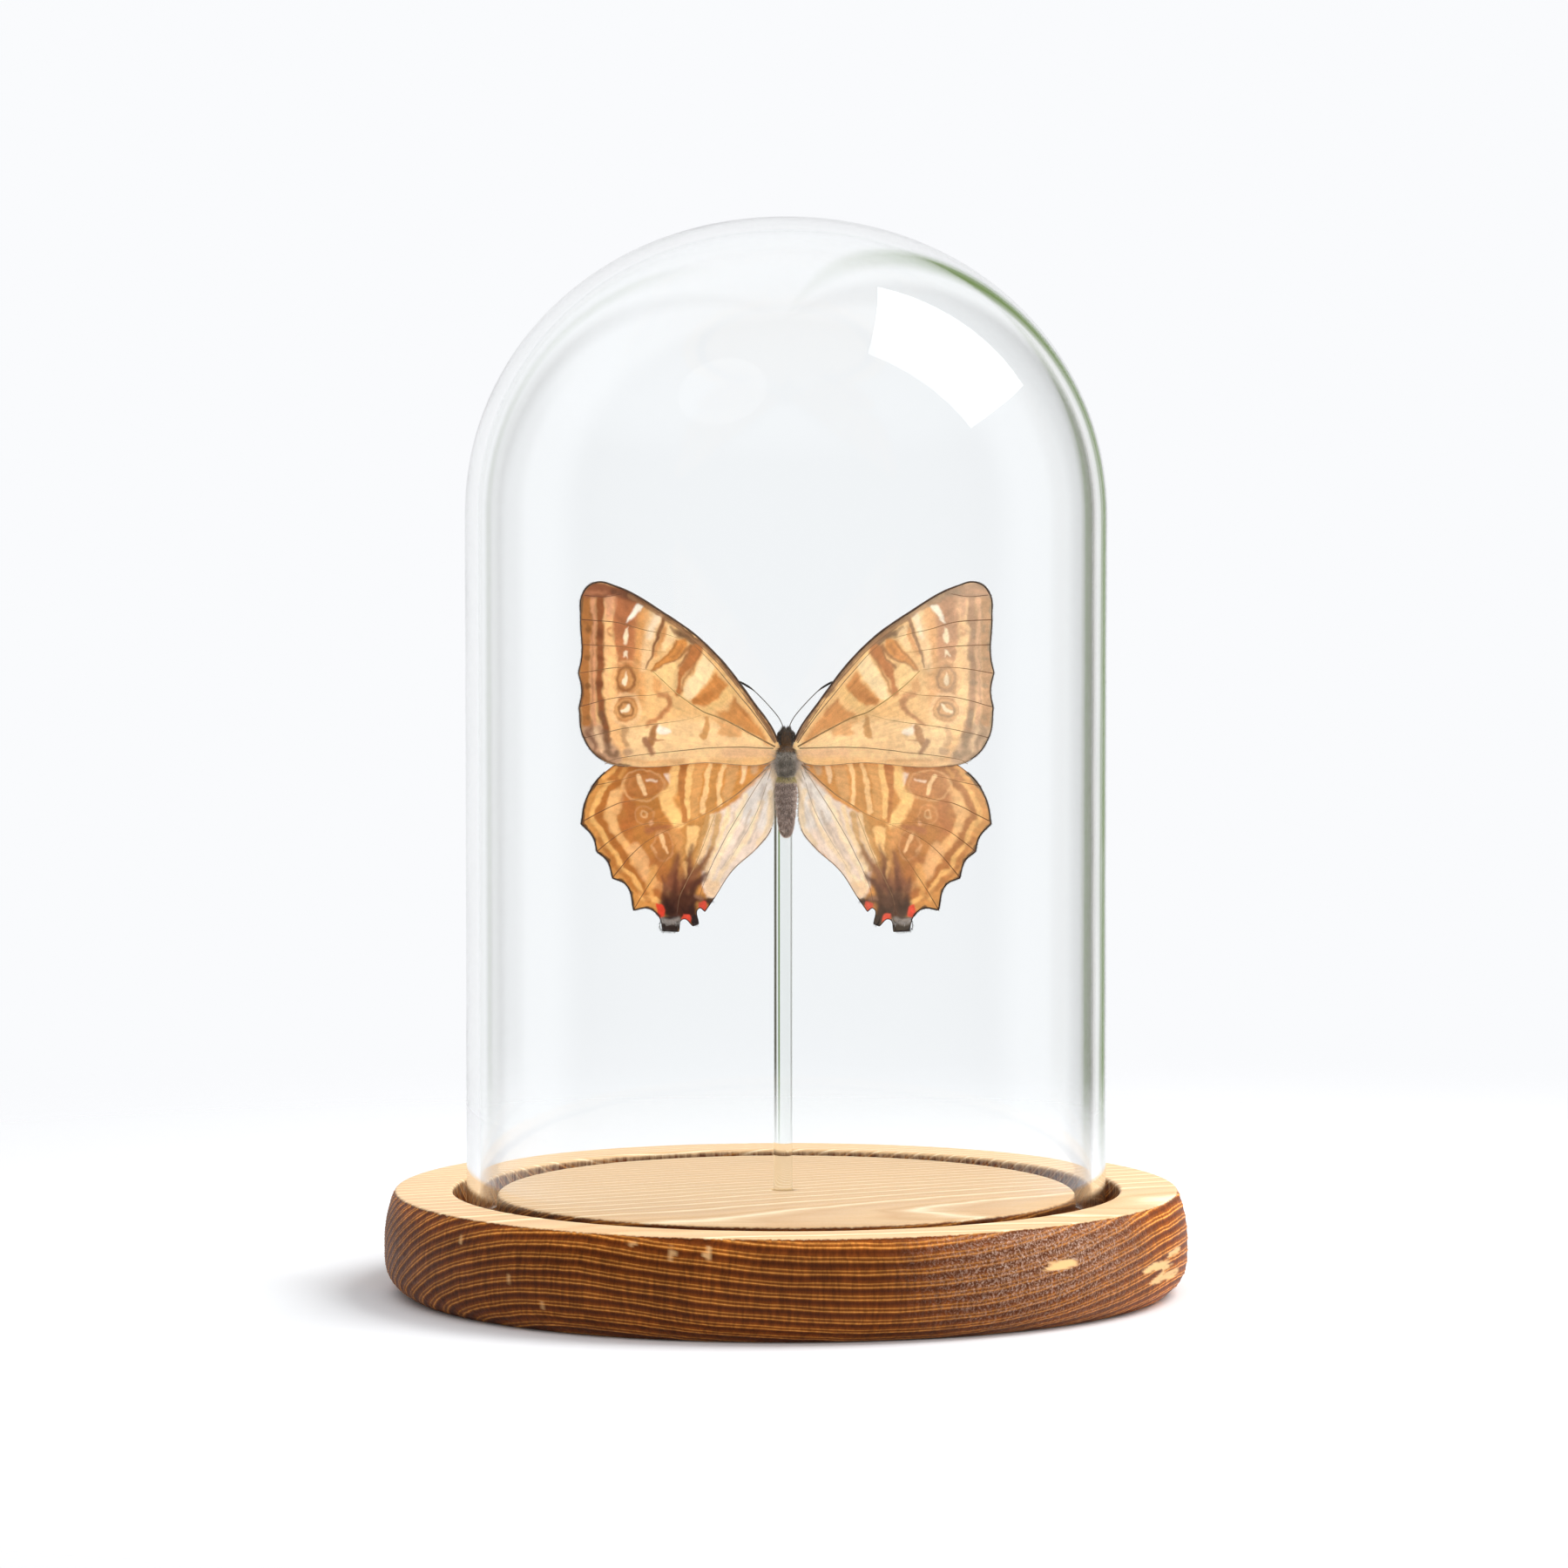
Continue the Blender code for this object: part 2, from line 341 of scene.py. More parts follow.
def dense(profile: Sequence[Point2], step: float) -> Array:
    """The same profile with no run longer than step."""
    rows = [np.array(profile[0], float)]
    for start, end in zip(np.array(profile[:-1], float), np.array(profile[1:], float)):
        count = max(1, math.ceil(np.hypot(*(end - start)) / step - 1e-6))
        rows += [start + (end - start) * (i + 1) / count for i in range(count)]
    return np.array(rows)


# --- Nodes


def add_node(
    tree: Tree,
    kind: str,
    feeds: Mapping[int | str, Any] | None = None,
    stops: Sequence[tuple[float, str]] = (),
    **settings: Any,
) -> bpy.types.Node:
    """Adds a node with its settings and links.

    Args:
        tree: Where the node goes.
        kind: The node's type name.
        feeds: For each input, by name or number, a value or the output socket that feeds it.
        stops: Positions and colours of a colour ramp.
        **settings: The node's own properties.

    Returns:
        The new node.
    """
    node = tree.nodes.new(kind)
    for key, value in settings.items():
        setattr(node, key, value)
    for key, value in (feeds or {}).items():
        if isinstance(value, bpy.types.NodeSocket):
            tree.links.new(value, node.inputs[key])
        else:
            node.inputs[key].default_value = value
    if stops:
        while len(node.color_ramp.elements) < len(stops):
            node.color_ramp.elements.new(1.0)
        for element, (position, colour) in zip(node.color_ramp.elements, stops):
            element.position = position
            element.color = rgba(colour)
    return node


def sums(tree: Tree, operation: str, *terms: Any) -> Socket:
    """The result of one math node."""
    return add_node(tree, "ShaderNodeMath", dict(enumerate(terms)), operation=operation).outputs[0]


def object_place(tree: Tree) -> Socket:
    """Position in the object's own frame, in metres."""
    return add_node(tree, "ShaderNodeTexCoord").outputs["Object"]


def stored(tree: Tree, name: str, output: str = "Fac") -> Socket:
    """A value or colour that the mesh stores on its points."""
    return add_node(tree, "ShaderNodeAttribute", attribute_name=name).outputs[output]


def noise(tree: Tree, place_in: Socket, cell: float, detail: float, roughness: float = 0.5) -> Socket:
    """Noise whose largest cells are as wide as cell, in millimetres."""
    feeds = {"Vector": place_in, "Scale": 1 / (cell * MM), "Detail": detail, "Roughness": roughness}
    return add_node(tree, "ShaderNodeTexNoise", feeds).outputs["Fac"]


def remap(tree: Tree, value: Socket, source: Point2, target: Point2 = (0.0, 1.0)) -> Socket:
    """A value moved from one range to another and held inside it."""
    feeds = {
        "Value": value, "From Min": source[0], "From Max": source[1], "To Min": target[0],
        "To Max": target[1],
    }
    return add_node(tree, "ShaderNodeMapRange", feeds).outputs[0]


def ramp(tree: Tree, factor: Socket, stops: Sequence[tuple[float, str]]) -> Socket:
    """Colours at their positions along a factor."""
    return add_node(tree, "ShaderNodeValToRGB", {0: factor}, stops=stops).outputs[0]


def scaled(tree: Tree, colour: Socket, amount: Socket) -> Socket:
    """A colour made brighter or darker."""
    return add_node(tree, "ShaderNodeVectorMath", {0: colour, "Scale": amount}, operation="SCALE").outputs[0]


def blend(tree: Tree, share: Socket, first: Any, second: Any) -> Socket:
    """Two colours mixed by a share of the second."""
    return add_node(tree, "ShaderNodeMix", {0: share, 6: first, 7: second}, data_type="RGBA").outputs[2]


def bump_of(tree: Tree, height: Socket, depth: float, strength: float = 1.0) -> Socket:
    """A surface normal from a height, whose relief is as deep as depth, in millimetres."""
    feeds = {"Height": height, "Strength": strength, "Distance": depth * MM}
    return add_node(tree, "ShaderNodeBump", feeds).outputs[0]


def principled(tree: Tree, feeds: Mapping[int | str, Any]) -> Socket:
    """The main surface shader with its sockets set."""
    return add_node(tree, "ShaderNodeBsdfPrincipled", feeds).outputs[0]


def mix_shaders(tree: Tree, share: Any, first: Socket, second: Socket) -> Socket:
    """Two shaders mixed by a share of the second."""
    return add_node(tree, "ShaderNodeMixShader", {0: share, 1: first, 2: second}).outputs[0]


def host_value(tree: Tree, name: str, kind: str = "FLOAT") -> Socket:
    """A value that the host mesh stores, in a Geometry Nodes tree."""
    return add_node(
        tree, "GeometryNodeInputNamedAttribute", {"Name": name}, data_type=kind,
    ).outputs["Attribute"]


@dataclass(frozen=True)
class Finish(ABC):
    """One surface finish, which builds one material."""

    name: str

    def material(self) -> bpy.types.Material:
        """The finish's material, built the first time it is asked for."""
        known = bpy.data.materials.get(self.name)
        if known is not None:
            return known
        made = bpy.data.materials.new(self.name)
        made.use_nodes = True
        tree = made.node_tree
        tree.nodes.clear()
        shader = self.build(tree)
        add_node(tree, "ShaderNodeOutputMaterial", {"Surface": shader})
        return made

    @abstractmethod
    def build(self, tree: Tree) -> Socket:
        """Adds the finish's nodes and returns the shader's output."""


RING_PERIOD = 2.1  # millimetres between growth rings


@dataclass(frozen=True)
class ScorchedPine(Finish):
    """Softwood turned on a lathe, its side flamed and brushed and its top left pale.

    The flame browns the soft spring wood and the brush wears it back, so thin hard rings stand up lighter
    than the wood between them. The middle is sealed and slightly glossy. Colour follows the growth rings
    that the base stores on its points. It is brightened and darkened by painted light and shade that the base
    stores there too, and the charred side carries a painted sheen.
    """

    grain_fibre: float = 0.22  # millimetres between wood fibres, drawn about five times too coarse to show

    def build(self, tree: Tree) -> Socket:
        """The wood's nodes, up to its shader."""
        place_in = object_place(tree)
        ring, scorch, char_sheen, chip, shade = (
            stored(tree, name)
            for name in ("ring", "scorch", "char_sheen", "chip", "shade")
        )
        # Fibres run along X: 0.22 mm apart across the grain and about 4 mm long
        along = add_node(tree, "ShaderNodeMapping", {"Vector": place_in, "Scale": (0.055, 1.0, 1.0)})
        fibre = noise(tree, along.outputs[0], 4 * self.grain_fibre, 3.0, 0.65)
        # Brush and saw marks across the rings on the side: 0.35 mm wide, about 2.5 mm tall
        upright = add_node(tree, "ShaderNodeMapping", {"Vector": place_in, "Scale": (1.0, 1.0, 0.16)})
        ticks = noise(tree, upright.outputs[0], 0.8, 2.0, 0.6)
        # Blotches from the flame, 9 mm across
        blotch = noise(tree, place_in, 9, 4.0, 0.6)
        # Fine speckle, 0.3 mm, for the charcoal's roughness and relief and for its painted sheen
        speck = noise(tree, place_in, 0.45, 2.0, 0.7)

        wobble = sums(tree, "MULTIPLY_ADD", fibre, 0.22, ring)
        phase = sums(tree, "FRACT", sums(tree, "DIVIDE", wobble, RING_PERIOD))
        burnt = ramp(
            tree, phase,
            (
                (0.0, "#542708"), (0.14, "#431D05"), (0.30, "#4D2307"), (0.40, "#7B4616"),
                (0.46, "#B07638"), (0.52, "#7D4818"), (0.60, "#552809"), (0.70, "#764417"),
                (0.76, "#9B642B"), (0.83, "#65330D"), (1.0, "#542708"),
            ),
        )
        pale = ramp(
            tree, phase,
            (
                (0.0, "#D5B087"), (0.22, "#CFA77C"), (0.38, "#DCBA90"), (0.48, "#F0DBB8"),
                (0.56, "#DAB68B"), (0.68, "#CDA376"), (0.80, "#D9B488"), (1.0, "#D5B087"),
            ),
        )
        tick_dark = remap(tree, ticks, (0.35, 0.68), (0.72, 1.32))
        blotch_dark = remap(tree, blotch, (0.3, 0.7), (0.84, 1.18))
        both = sums(tree, "MULTIPLY", tick_dark, blotch_dark)
        # The stored shade is painted light and shade: the wood is brighter where the light falls on it.
        burnt = scaled(tree, burnt, sums(tree, "MULTIPLY", both, shade))
        fibre_pale = remap(tree, fibre, (0.3, 0.7), (0.93, 1.07))
        pale = scaled(tree, pale, sums(tree, "MULTIPLY", fibre_pale, shade))
        # Painted sheen: grey speckle laid over the charred side at the right front, where the light glances off it.
        char_sheen_tone = ramp(
            tree, speck, ((0.36, "#5A3520"), (0.5, "#84604A"), (0.6, "#A28270"), (0.72, "#C2AA9A")),
        )
        char_sheen_share = remap(tree, speck, (0.4, 0.6), (0.25, 0.8))
        char_sheen_share = sums(tree, "MULTIPLY", char_sheen_share, char_sheen)
        burnt = blend(tree, char_sheen_share, burnt, char_sheen_tone)
        chipped = blend(tree, chip, burnt, rgba("#E3B67E"))
        ragged = sums(tree, "MULTIPLY_ADD", ticks, 0.5, scorch)
        edge = remap(tree, ragged, (0.62, 0.92))
        colour = blend(tree, edge, pale, chipped)
        rough = remap(tree, speck, (0.3, 0.7), (0.38, 0.62))
        height = sums(tree, "MULTIPLY_ADD", fibre, ticks, speck)
        bump = bump_of(tree, height, 0.12, 0.35)
        return principled(
            tree,
            {
                "Base Color": colour, "Roughness": rough, "Normal": bump, "IOR": 1.5,
                "Specular IOR Level": 0.1,
            },
        )


@dataclass(frozen=True)
class ClearGlass(Finish):
    """Clear blown glass or drawn rod, fire polished, with sharp reflections and a faint tint.

    Lamps shine straight through it, so what stands inside is lit as if through thin clear glass.
    """

    tint: str = "#FDFEFE"
    lamp_tint: str = "#FCFDFD"
    ior: float = 1.5
    mirror: float = 0.3  # share of a plain glass face's reflection, seen straight on
    ripple: float = 22.0  # millimetres between the slow ripples that blowing leaves
    ripple_depth: float = 0.02  # millimetres

    def build(self, tree: Tree) -> Socket:
        """The glass's nodes, up to its shader."""
        place_in = object_place(tree)
        waves = noise(tree, place_in, self.ripple, 1.0)
        bump = bump_of(tree, waves, self.ripple_depth, 1.0)
        glass = principled(
            tree,
            {
                "Base Color": rgba(self.tint), "Roughness": 0.0, "IOR": self.ior,
                "Transmission Weight": 1.0, "Normal": bump,
                "Specular Tint": (self.mirror, self.mirror, self.mirror, 1.0),
            },
        )
        clear = add_node(tree, "ShaderNodeBsdfTransparent", {"Color": rgba(self.lamp_tint)}).outputs[0]
        path = add_node(tree, "ShaderNodeLightPath")
        passing = sums(tree, "MAXIMUM", path.outputs["Is Shadow Ray"], path.outputs["Is Diffuse Ray"])
        return mix_shaders(tree, passing, glass, clear)


@dataclass(frozen=True)
class Adhesive(Finish):
    """Set clear glue: cloudy, yellowed a little, with a soft shine and tiny bubbles."""

    def build(self, tree: Tree) -> Socket:
        """The glue's nodes, up to its shader."""
        place_in = object_place(tree)
        # Bubbles 0.2 mm across
        cloud = noise(tree, place_in, 0.2, 2.0)
        colour = ramp(tree, cloud, ((0.35, "#CFC5A4"), (0.65, "#EFE9D6")))
        return principled(
            tree, {"Base Color": colour, "Roughness": 0.22, "IOR": 1.48, "Transmission Weight": 0.45},
        )


@dataclass(frozen=True)
class WingScales(Finish):
    """Butterfly membrane under overlapping scales: matt, a little silky, and lit through from behind.

    The pattern is laid on the points by the wing. Light passes the membrane's two faces, so the colour of
    what shines through is raised to less than its full strength.
    """

    row: float = 0.34  # millimetres between scale rows, drawn about four times too coarse to show
    through: float = 0.35

    def build(self, tree: Tree) -> Socket:
        """The wing's nodes, up to its shader."""
        place_in = object_place(tree)
        pattern = stored(tree, "wing_colour", "Color")
        bare = stored(tree, "bare")
        rows = add_node(
            tree, "ShaderNodeTexVoronoi",
            {"Vector": place_in, "Scale": 1 / (self.row * MM), "Randomness": 0.8},
        ).outputs["Distance"]
        # Worn and thin places, 1.5 mm across
        wear_and_sheen = noise(tree, place_in, 1.5, 4.0, 0.62)
        row_tone = remap(tree, rows, (0.0, 0.8), (1.05, 0.93))
        worn_tone = remap(tree, wear_and_sheen, (0.3, 0.7), (0.94, 1.07))
        tone = sums(tree, "MULTIPLY", row_tone, worn_tone)
        colour = scaled(tree, pattern, tone)
        lighter = add_node(tree, "ShaderNodeGamma", {"Color": colour, "Gamma": 0.62}).outputs[0]
        rough = remap(tree, bare, (0.0, 1.0), (0.62, 0.32))
        bump = bump_of(tree, rows, 0.03, 0.25)
        face = principled(
            tree,
            {
                "Base Color": colour, "Roughness": rough, "Normal": bump, "IOR": 1.5,
                "Specular IOR Level": 0.25, "Sheen Weight": 0.15, "Sheen Roughness": 0.4,
            },
        )
        shine = add_node(tree, "ShaderNodeBsdfTranslucent", {"Color": lighter}).outputs[0]
        return mix_shaders(tree, self.through, face, shine)


@dataclass(frozen=True)
class WingVein(Finish):
    """Hollow chitin tubes that stiffen the wing: hard, a little glossy, brown where scales are rubbed off."""

    def build(self, tree: Tree) -> Socket:
        """The vein's nodes, up to its shader."""
        place_in = object_place(tree)
        tone = stored(tree, "vein_colour", "Color")
        # Rubbed places 0.8 mm long
        rub = noise(tree, place_in, 0.8, 3.0)
        change = remap(tree, rub, (0.3, 0.7), (0.8, 1.22))
        colour = scaled(tree, tone, change)
        return principled(
            tree, {"Base Color": colour, "Roughness": 0.5, "IOR": 1.53, "Specular IOR Level": 0.35},
        )


@dataclass(frozen=True)
class Chitin(Finish):
    """Bare insect shell: hard, dark and smooth, finely pitted, with a low shine."""

    dark: str = "#1E1612"
    light: str = "#4A3A2E"
    pit: float = 0.12  # millimetres between pits
    roughness: float = 0.42

    def build(self, tree: Tree) -> Socket:
        """The shell's nodes, up to its shader."""
        place_in = object_place(tree)
        pits = add_node(
            tree, "ShaderNodeTexVoronoi", {"Vector": place_in, "Scale": 1 / (self.pit * MM)},
        ).outputs["Distance"]
        # Tone changes over 1 mm
        cloud = noise(tree, place_in, 1.0, 3.0)
        colour = ramp(tree, cloud, ((0.35, self.dark), (0.68, self.light)))
        bump = bump_of(tree, pits, 0.02, 0.5)
        return principled(
            tree, {"Base Color": colour, "Roughness": self.roughness, "Normal": bump, "IOR": 1.55},
        )


@dataclass(frozen=True)
class InsectHair(Finish):
    """Fine dry hair and hair-like scales: matt, darker at the root, each hair its own tone."""

    root: str = "#3A3027"
    middle: str = "#7A6E60"
    tip: str = "#B9AC9B"

    def build(self, tree: Tree) -> Socket:
        """The hair's nodes, up to its shader."""
        tone = stored(tree, "hair_tone")
        along = stored(tree, "hair_along")
        mixed = sums(tree, "MULTIPLY_ADD", tone, 0.6, 0.0)
        mixed = sums(tree, "MULTIPLY_ADD", along, 0.4, mixed)
        colour = ramp(tree, mixed, ((0.08, self.root), (0.5, self.middle), (0.92, self.tip)))
        return principled(
            tree,
            {
                "Base Color": colour, "Roughness": 0.7, "IOR": 1.5, "Specular IOR Level": 0.25,
                "Sheen Weight": 0.2, "Sheen Roughness": 0.5,
            },
        )


@dataclass(frozen=True)
class PlainFloor(Finish):
    """Pale matt studio board that fades out into the backdrop."""

    colour: str = "#EFEFF1"
    solid_reach: float = 0.13  # metres
    painted_sheen_reach: float = 0.42  # metres

    def build(self, tree: Tree) -> Socket:
        """The board's nodes, up to its shader."""
        place_in = object_place(tree)
        reach = add_node(tree, "ShaderNodeVectorMath", {0: place_in}, operation="LENGTH").outputs["Value"]
        fade = add_node(
            tree, "ShaderNodeMapRange",
            {"Value": reach, "From Min": self.solid_reach, "From Max": self.painted_sheen_reach},
            interpolation_type="SMOOTHSTEP",
        ).outputs[0]
        board = principled(
            tree, {"Base Color": rgba(self.colour), "Roughness": 0.9, "Specular IOR Level": 0.1},
        )
        clear = add_node(tree, "ShaderNodeBsdfTransparent").outputs[0]
        path = add_node(tree, "ShaderNodeLightPath")
        seen = sums(tree, "MAXIMUM", path.outputs["Is Camera Ray"], path.outputs["Is Singular Ray"])
        fade = sums(tree, "MULTIPLY", fade, seen)
        return mix_shaders(tree, fade, board, clear)


# --- Growth


@dataclass(frozen=True)
class Growth(ABC):
    """A Geometry Nodes tree that grows something on a host mesh."""

    title: str

    @property
    @abstractmethod
    def inputs(self) -> tuple[tuple[str, str], ...]:
        """Name and socket type of each input after the geometry."""

    @abstractmethod
    def fill(self, tree: Tree, given: Socket, feed: Mapping[str, Any]) -> Any:
        """Adds the tree's nodes and returns the grown geometry, before it is made real and dressed."""

    def tree(self) -> Tree:
        """The node tree, built the first time it is asked for."""
        known = bpy.data.node_groups.get(self.title)
        if known is not None:
            return known
        made = bpy.data.node_groups.new(self.title, "GeometryNodeTree")
        made.interface.new_socket("Geometry", in_out="INPUT", socket_type="NodeSocketGeometry")
        for name, kind in self.inputs:
            made.interface.new_socket(name, in_out="INPUT", socket_type=kind)
        made.interface.new_socket("Material", in_out="INPUT", socket_type="NodeSocketMaterial")
        made.interface.new_socket("Geometry", in_out="OUTPUT", socket_type="NodeSocketGeometry")
        entry = add_node(made, "NodeGroupInput")
        grown = self.fill(made, entry.outputs["Geometry"], entry.outputs)
        real = add_node(made, "GeometryNodeRealizeInstances", {"Geometry": grown})
        smooth = add_node(made, "GeometryNodeSetShadeSmooth", {"Geometry": real.outputs[0]})
        dressed = add_node(
            made, "GeometryNodeSetMaterial",
            {"Geometry": smooth.outputs[0], "Material": entry.outputs["Material"]},
        )
        add_node(made, "NodeGroupOutput", {0: dressed.outputs[0]})
        return made

    def grow(self, name: str, host: Mesh, finish: Finish, **settings: Any) -> Object:
        """Grows the tree on a host mesh and keeps the result as a plain mesh.

        Args:
            name: Name of the new object.
            host: Mesh that it grows on, which isn't kept.
            finish: Finish of what grows.
            **settings: A value for each of the tree's inputs, with _ for a space.

        Returns:
            The grown object.
        """
        seat = place(name + "_host", host, None)
        modifier = seat.modifiers.new("growth", "NODES")
        modifier.node_group = self.tree()
        values = {key.replace("_", " "): value for key, value in settings.items()}
        values["Material"] = finish.material()
        for item in modifier.node_group.interface.items_tree:
            if item.item_type == "SOCKET" and item.in_out == "INPUT" and item.name in values:
                modifier[item.identifier] = values[item.name]
        graph = bpy.context.evaluated_depsgraph_get()
        made = bpy.data.meshes.new_from_object(seat.evaluated_get(graph))
        seat.modifiers.clear()
        bpy.data.objects.remove(seat)
        bpy.data.meshes.remove(host)
        made.name = name
        return place(name, made, None)


@dataclass(frozen=True)
class Bristles(Growth):
    """Plants tapered, slightly bent hairs on a skin.

    The skin's "lean" value says which way each hair leans, "size" how long it is and "shade" how pale.
    """

    title: str = "bristles"

    @property
    def inputs(self) -> tuple[tuple[str, str], ...]:
        """Name and socket type of each input after the geometry."""
        return (
            ("Density", "NodeSocketFloat"), ("Length", "NodeSocketFloat"), ("Thickness", "NodeSocketFloat"),
            ("Spread", "NodeSocketFloat"), ("Bend", "NodeSocketFloat"), ("Sides", "NodeSocketInt"),
            ("Seed", "NodeSocketInt"),
        )

    def fill(self, tree: Tree, given: Socket, feed: Mapping[str, Any]) -> Any:
        """Adds the tree's nodes and returns the grown geometry, before it is made real and dressed."""
        cone = add_node(
            tree, "GeometryNodeMeshCone",
            {
                "Vertices": feed["Sides"], "Side Segments": 3, "Fill Segments": 1, "Radius Top": 0.12,
                "Radius Bottom": 1.0, "Depth": 1.0,
            },
        )
        spot = add_node(tree, "GeometryNodeInputPosition")
        height = add_node(tree, "ShaderNodeSeparateXYZ", {0: spot.outputs[0]}).outputs["Z"]
        square = sums(tree, "MULTIPLY", height, height)
        sag = sums(tree, "MULTIPLY", square, feed["Bend"])
        push = add_node(tree, "ShaderNodeCombineXYZ", {"X": sag}).outputs[0]
        along = add_node(
            tree, "GeometryNodeStoreNamedAttribute",
            {"Geometry": cone.outputs["Mesh"], "Name": "hair_along", "Value": height}, data_type="FLOAT",
            domain="POINT",
        ).outputs[0]
        bent = add_node(tree, "GeometryNodeSetPosition", {"Geometry": along, "Offset": push}).outputs[0]
        seats = add_node(
            tree, "GeometryNodeDistributePointsOnFaces",
            {"Mesh": given, "Density": feed["Density"], "Seed": feed["Seed"]},
        )
        lean = host_value(tree, "lean", "FLOAT_VECTOR")
        scatter = add_node(
            tree, "FunctionNodeRandomValue", {"Seed": feed["Seed"]}, data_type="FLOAT_VECTOR",
        )
        scatter.inputs[0].default_value = (-1.0, -1.0, -1.0)
        scatter.inputs[1].default_value = (1.0, 1.0, 1.0)
        strayed = scaled(tree, scatter.outputs[0], feed["Spread"])
        way = add_node(tree, "ShaderNodeVectorMath", {0: lean, 1: strayed}, operation="ADD").outputs[0]
        upright = add_node(tree, "FunctionNodeAlignRotationToVector", {"Vector": way}, axis="Z").outputs[0]
        roll = add_node(
            tree, "FunctionNodeRandomValue", {"Seed": 7, 3: math.tau}, data_type="FLOAT",
        ).outputs[1]
        spin = add_node(tree, "ShaderNodeCombineXYZ", {"Z": roll}).outputs[0]
        turn = add_node(tree, "FunctionNodeEulerToRotation", {0: spin}).outputs[0]
        rotation = add_node(
            tree, "FunctionNodeRotateRotation", {0: upright, 1: turn}, rotation_space="LOCAL",
        ).outputs[0]
        size = host_value(tree, "size")
        vary = add_node(
            tree, "FunctionNodeRandomValue", {"Seed": 11, 2: 0.55, 3: 1.2}, data_type="FLOAT",
        ).outputs[1]
        length = sums(tree, "MULTIPLY", feed["Length"], vary)
        length = sums(tree, "MULTIPLY", length, size)
        scale = add_node(
            tree, "ShaderNodeCombineXYZ", {"X": feed["Thickness"], "Y": feed["Thickness"], "Z": length},
        ).outputs[0]
        planted = add_node(
            tree, "GeometryNodeInstanceOnPoints",
            {"Points": seats.outputs["Points"], "Instance": bent, "Rotation": rotation, "Scale": scale},
        ).outputs[0]
        tone = add_node(tree, "FunctionNodeRandomValue", {"Seed": 23}, data_type="FLOAT").outputs[1]
        shade = host_value(tree, "shade")
        tone = sums(tree, "MULTIPLY_ADD", tone, 0.45, -0.225)
        tone = sums(tree, "ADD", tone, shade)
        return add_node(
            tree, "GeometryNodeStoreNamedAttribute",
            {"Geometry": planted, "Name": "hair_tone", "Value": tone}, data_type="FLOAT", domain="INSTANCE",
        ).outputs[0]


@dataclass(frozen=True)
class Tubes(Growth):
    """Sweeps a round tube along every edge path of the host, as thick as each point's "thickness" value."""

    title: str = "tubes"

    @property
    def inputs(self) -> tuple[tuple[str, str], ...]:
        """Name and socket type of each input after the geometry."""
        return (("Sides", "NodeSocketInt"),)

    def fill(self, tree: Tree, given: Socket, feed: Mapping[str, Any]) -> Any:
        """Adds the tree's nodes and returns the grown geometry, before it is made real and dressed."""
        path = add_node(tree, "GeometryNodeMeshToCurve", {"Mesh": given}).outputs[0]
        ring = add_node(
            tree, "GeometryNodeCurvePrimitiveCircle", {"Resolution": feed["Sides"], "Radius": 1.0},
        )
        thick = host_value(tree, "thickness")
        return add_node(
            tree, "GeometryNodeCurveToMesh",
            {"Curve": path, "Profile Curve": ring.outputs["Curve"], "Scale": thick, "Fill Caps": True},
        ).outputs[0]


def path_mesh(name: str, paths: Sequence[tuple[Array, Array, Array]]) -> Mesh:
    """A mesh of edge paths for Tubes to follow.

    Args:
        name: Name of the mesh.
        paths: For each path its points, its radius at each point, both in millimetres, and its linear
        colours.

    Returns:
        The new mesh, in metres.
    """
    points, radii, colours = (np.concatenate([path[i] for path in paths]) for i in range(3))
    edges, start = [], 0
    for route, _, _ in paths:
        edges += [(start + i, start + i + 1) for i in range(len(route) - 1)]
        start += len(route)
    made = bpy.data.meshes.new(name)
    made.from_pydata((points * MM).tolist(), edges, [])
    made.attributes.new("thickness", "FLOAT", "POINT").data.foreach_set(
        "value", (radii * MM).astype(np.float32),
    )
    full = np.hstack((colours, np.ones((len(colours), 1)))).astype(np.float32)
    made.attributes.new("vein_colour", "FLOAT_COLOR", "POINT").data.foreach_set("color", full.ravel())
    return made


def show(piece: Object, replaced: Sequence[str], note: str) -> None:
    """Tells the frame what a finished piece is, and logs it.

    Args:
        piece: The finished piece.
        replaced: The CAD nodes that it stands for.
        note: What the piece is, for the log.
    """
    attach(piece, ROOT)
    if replaced:
        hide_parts(*replaced)
    log.info("%s: %d faces. %s", piece.name, len(piece.data.polygons), note)


def show_skin(name: str, skin: Skin, finish: Finish, replaced: Sequence[str], note: str) -> None:
    """Makes a skin a piece with its finish, and shows it."""
    show(place(name, skin.mesh(name), finish.material()), replaced, note)


# --- Base and glass


@dataclass(frozen=True)
class Chip:
    """A pale place on the base's side where the flame's brown is knocked or rubbed off."""

    bearing: float  # degrees round the base from +X
    height: float
    reach: float  # half width in degrees
    tall: float  # half height
    strength: float = 1.0


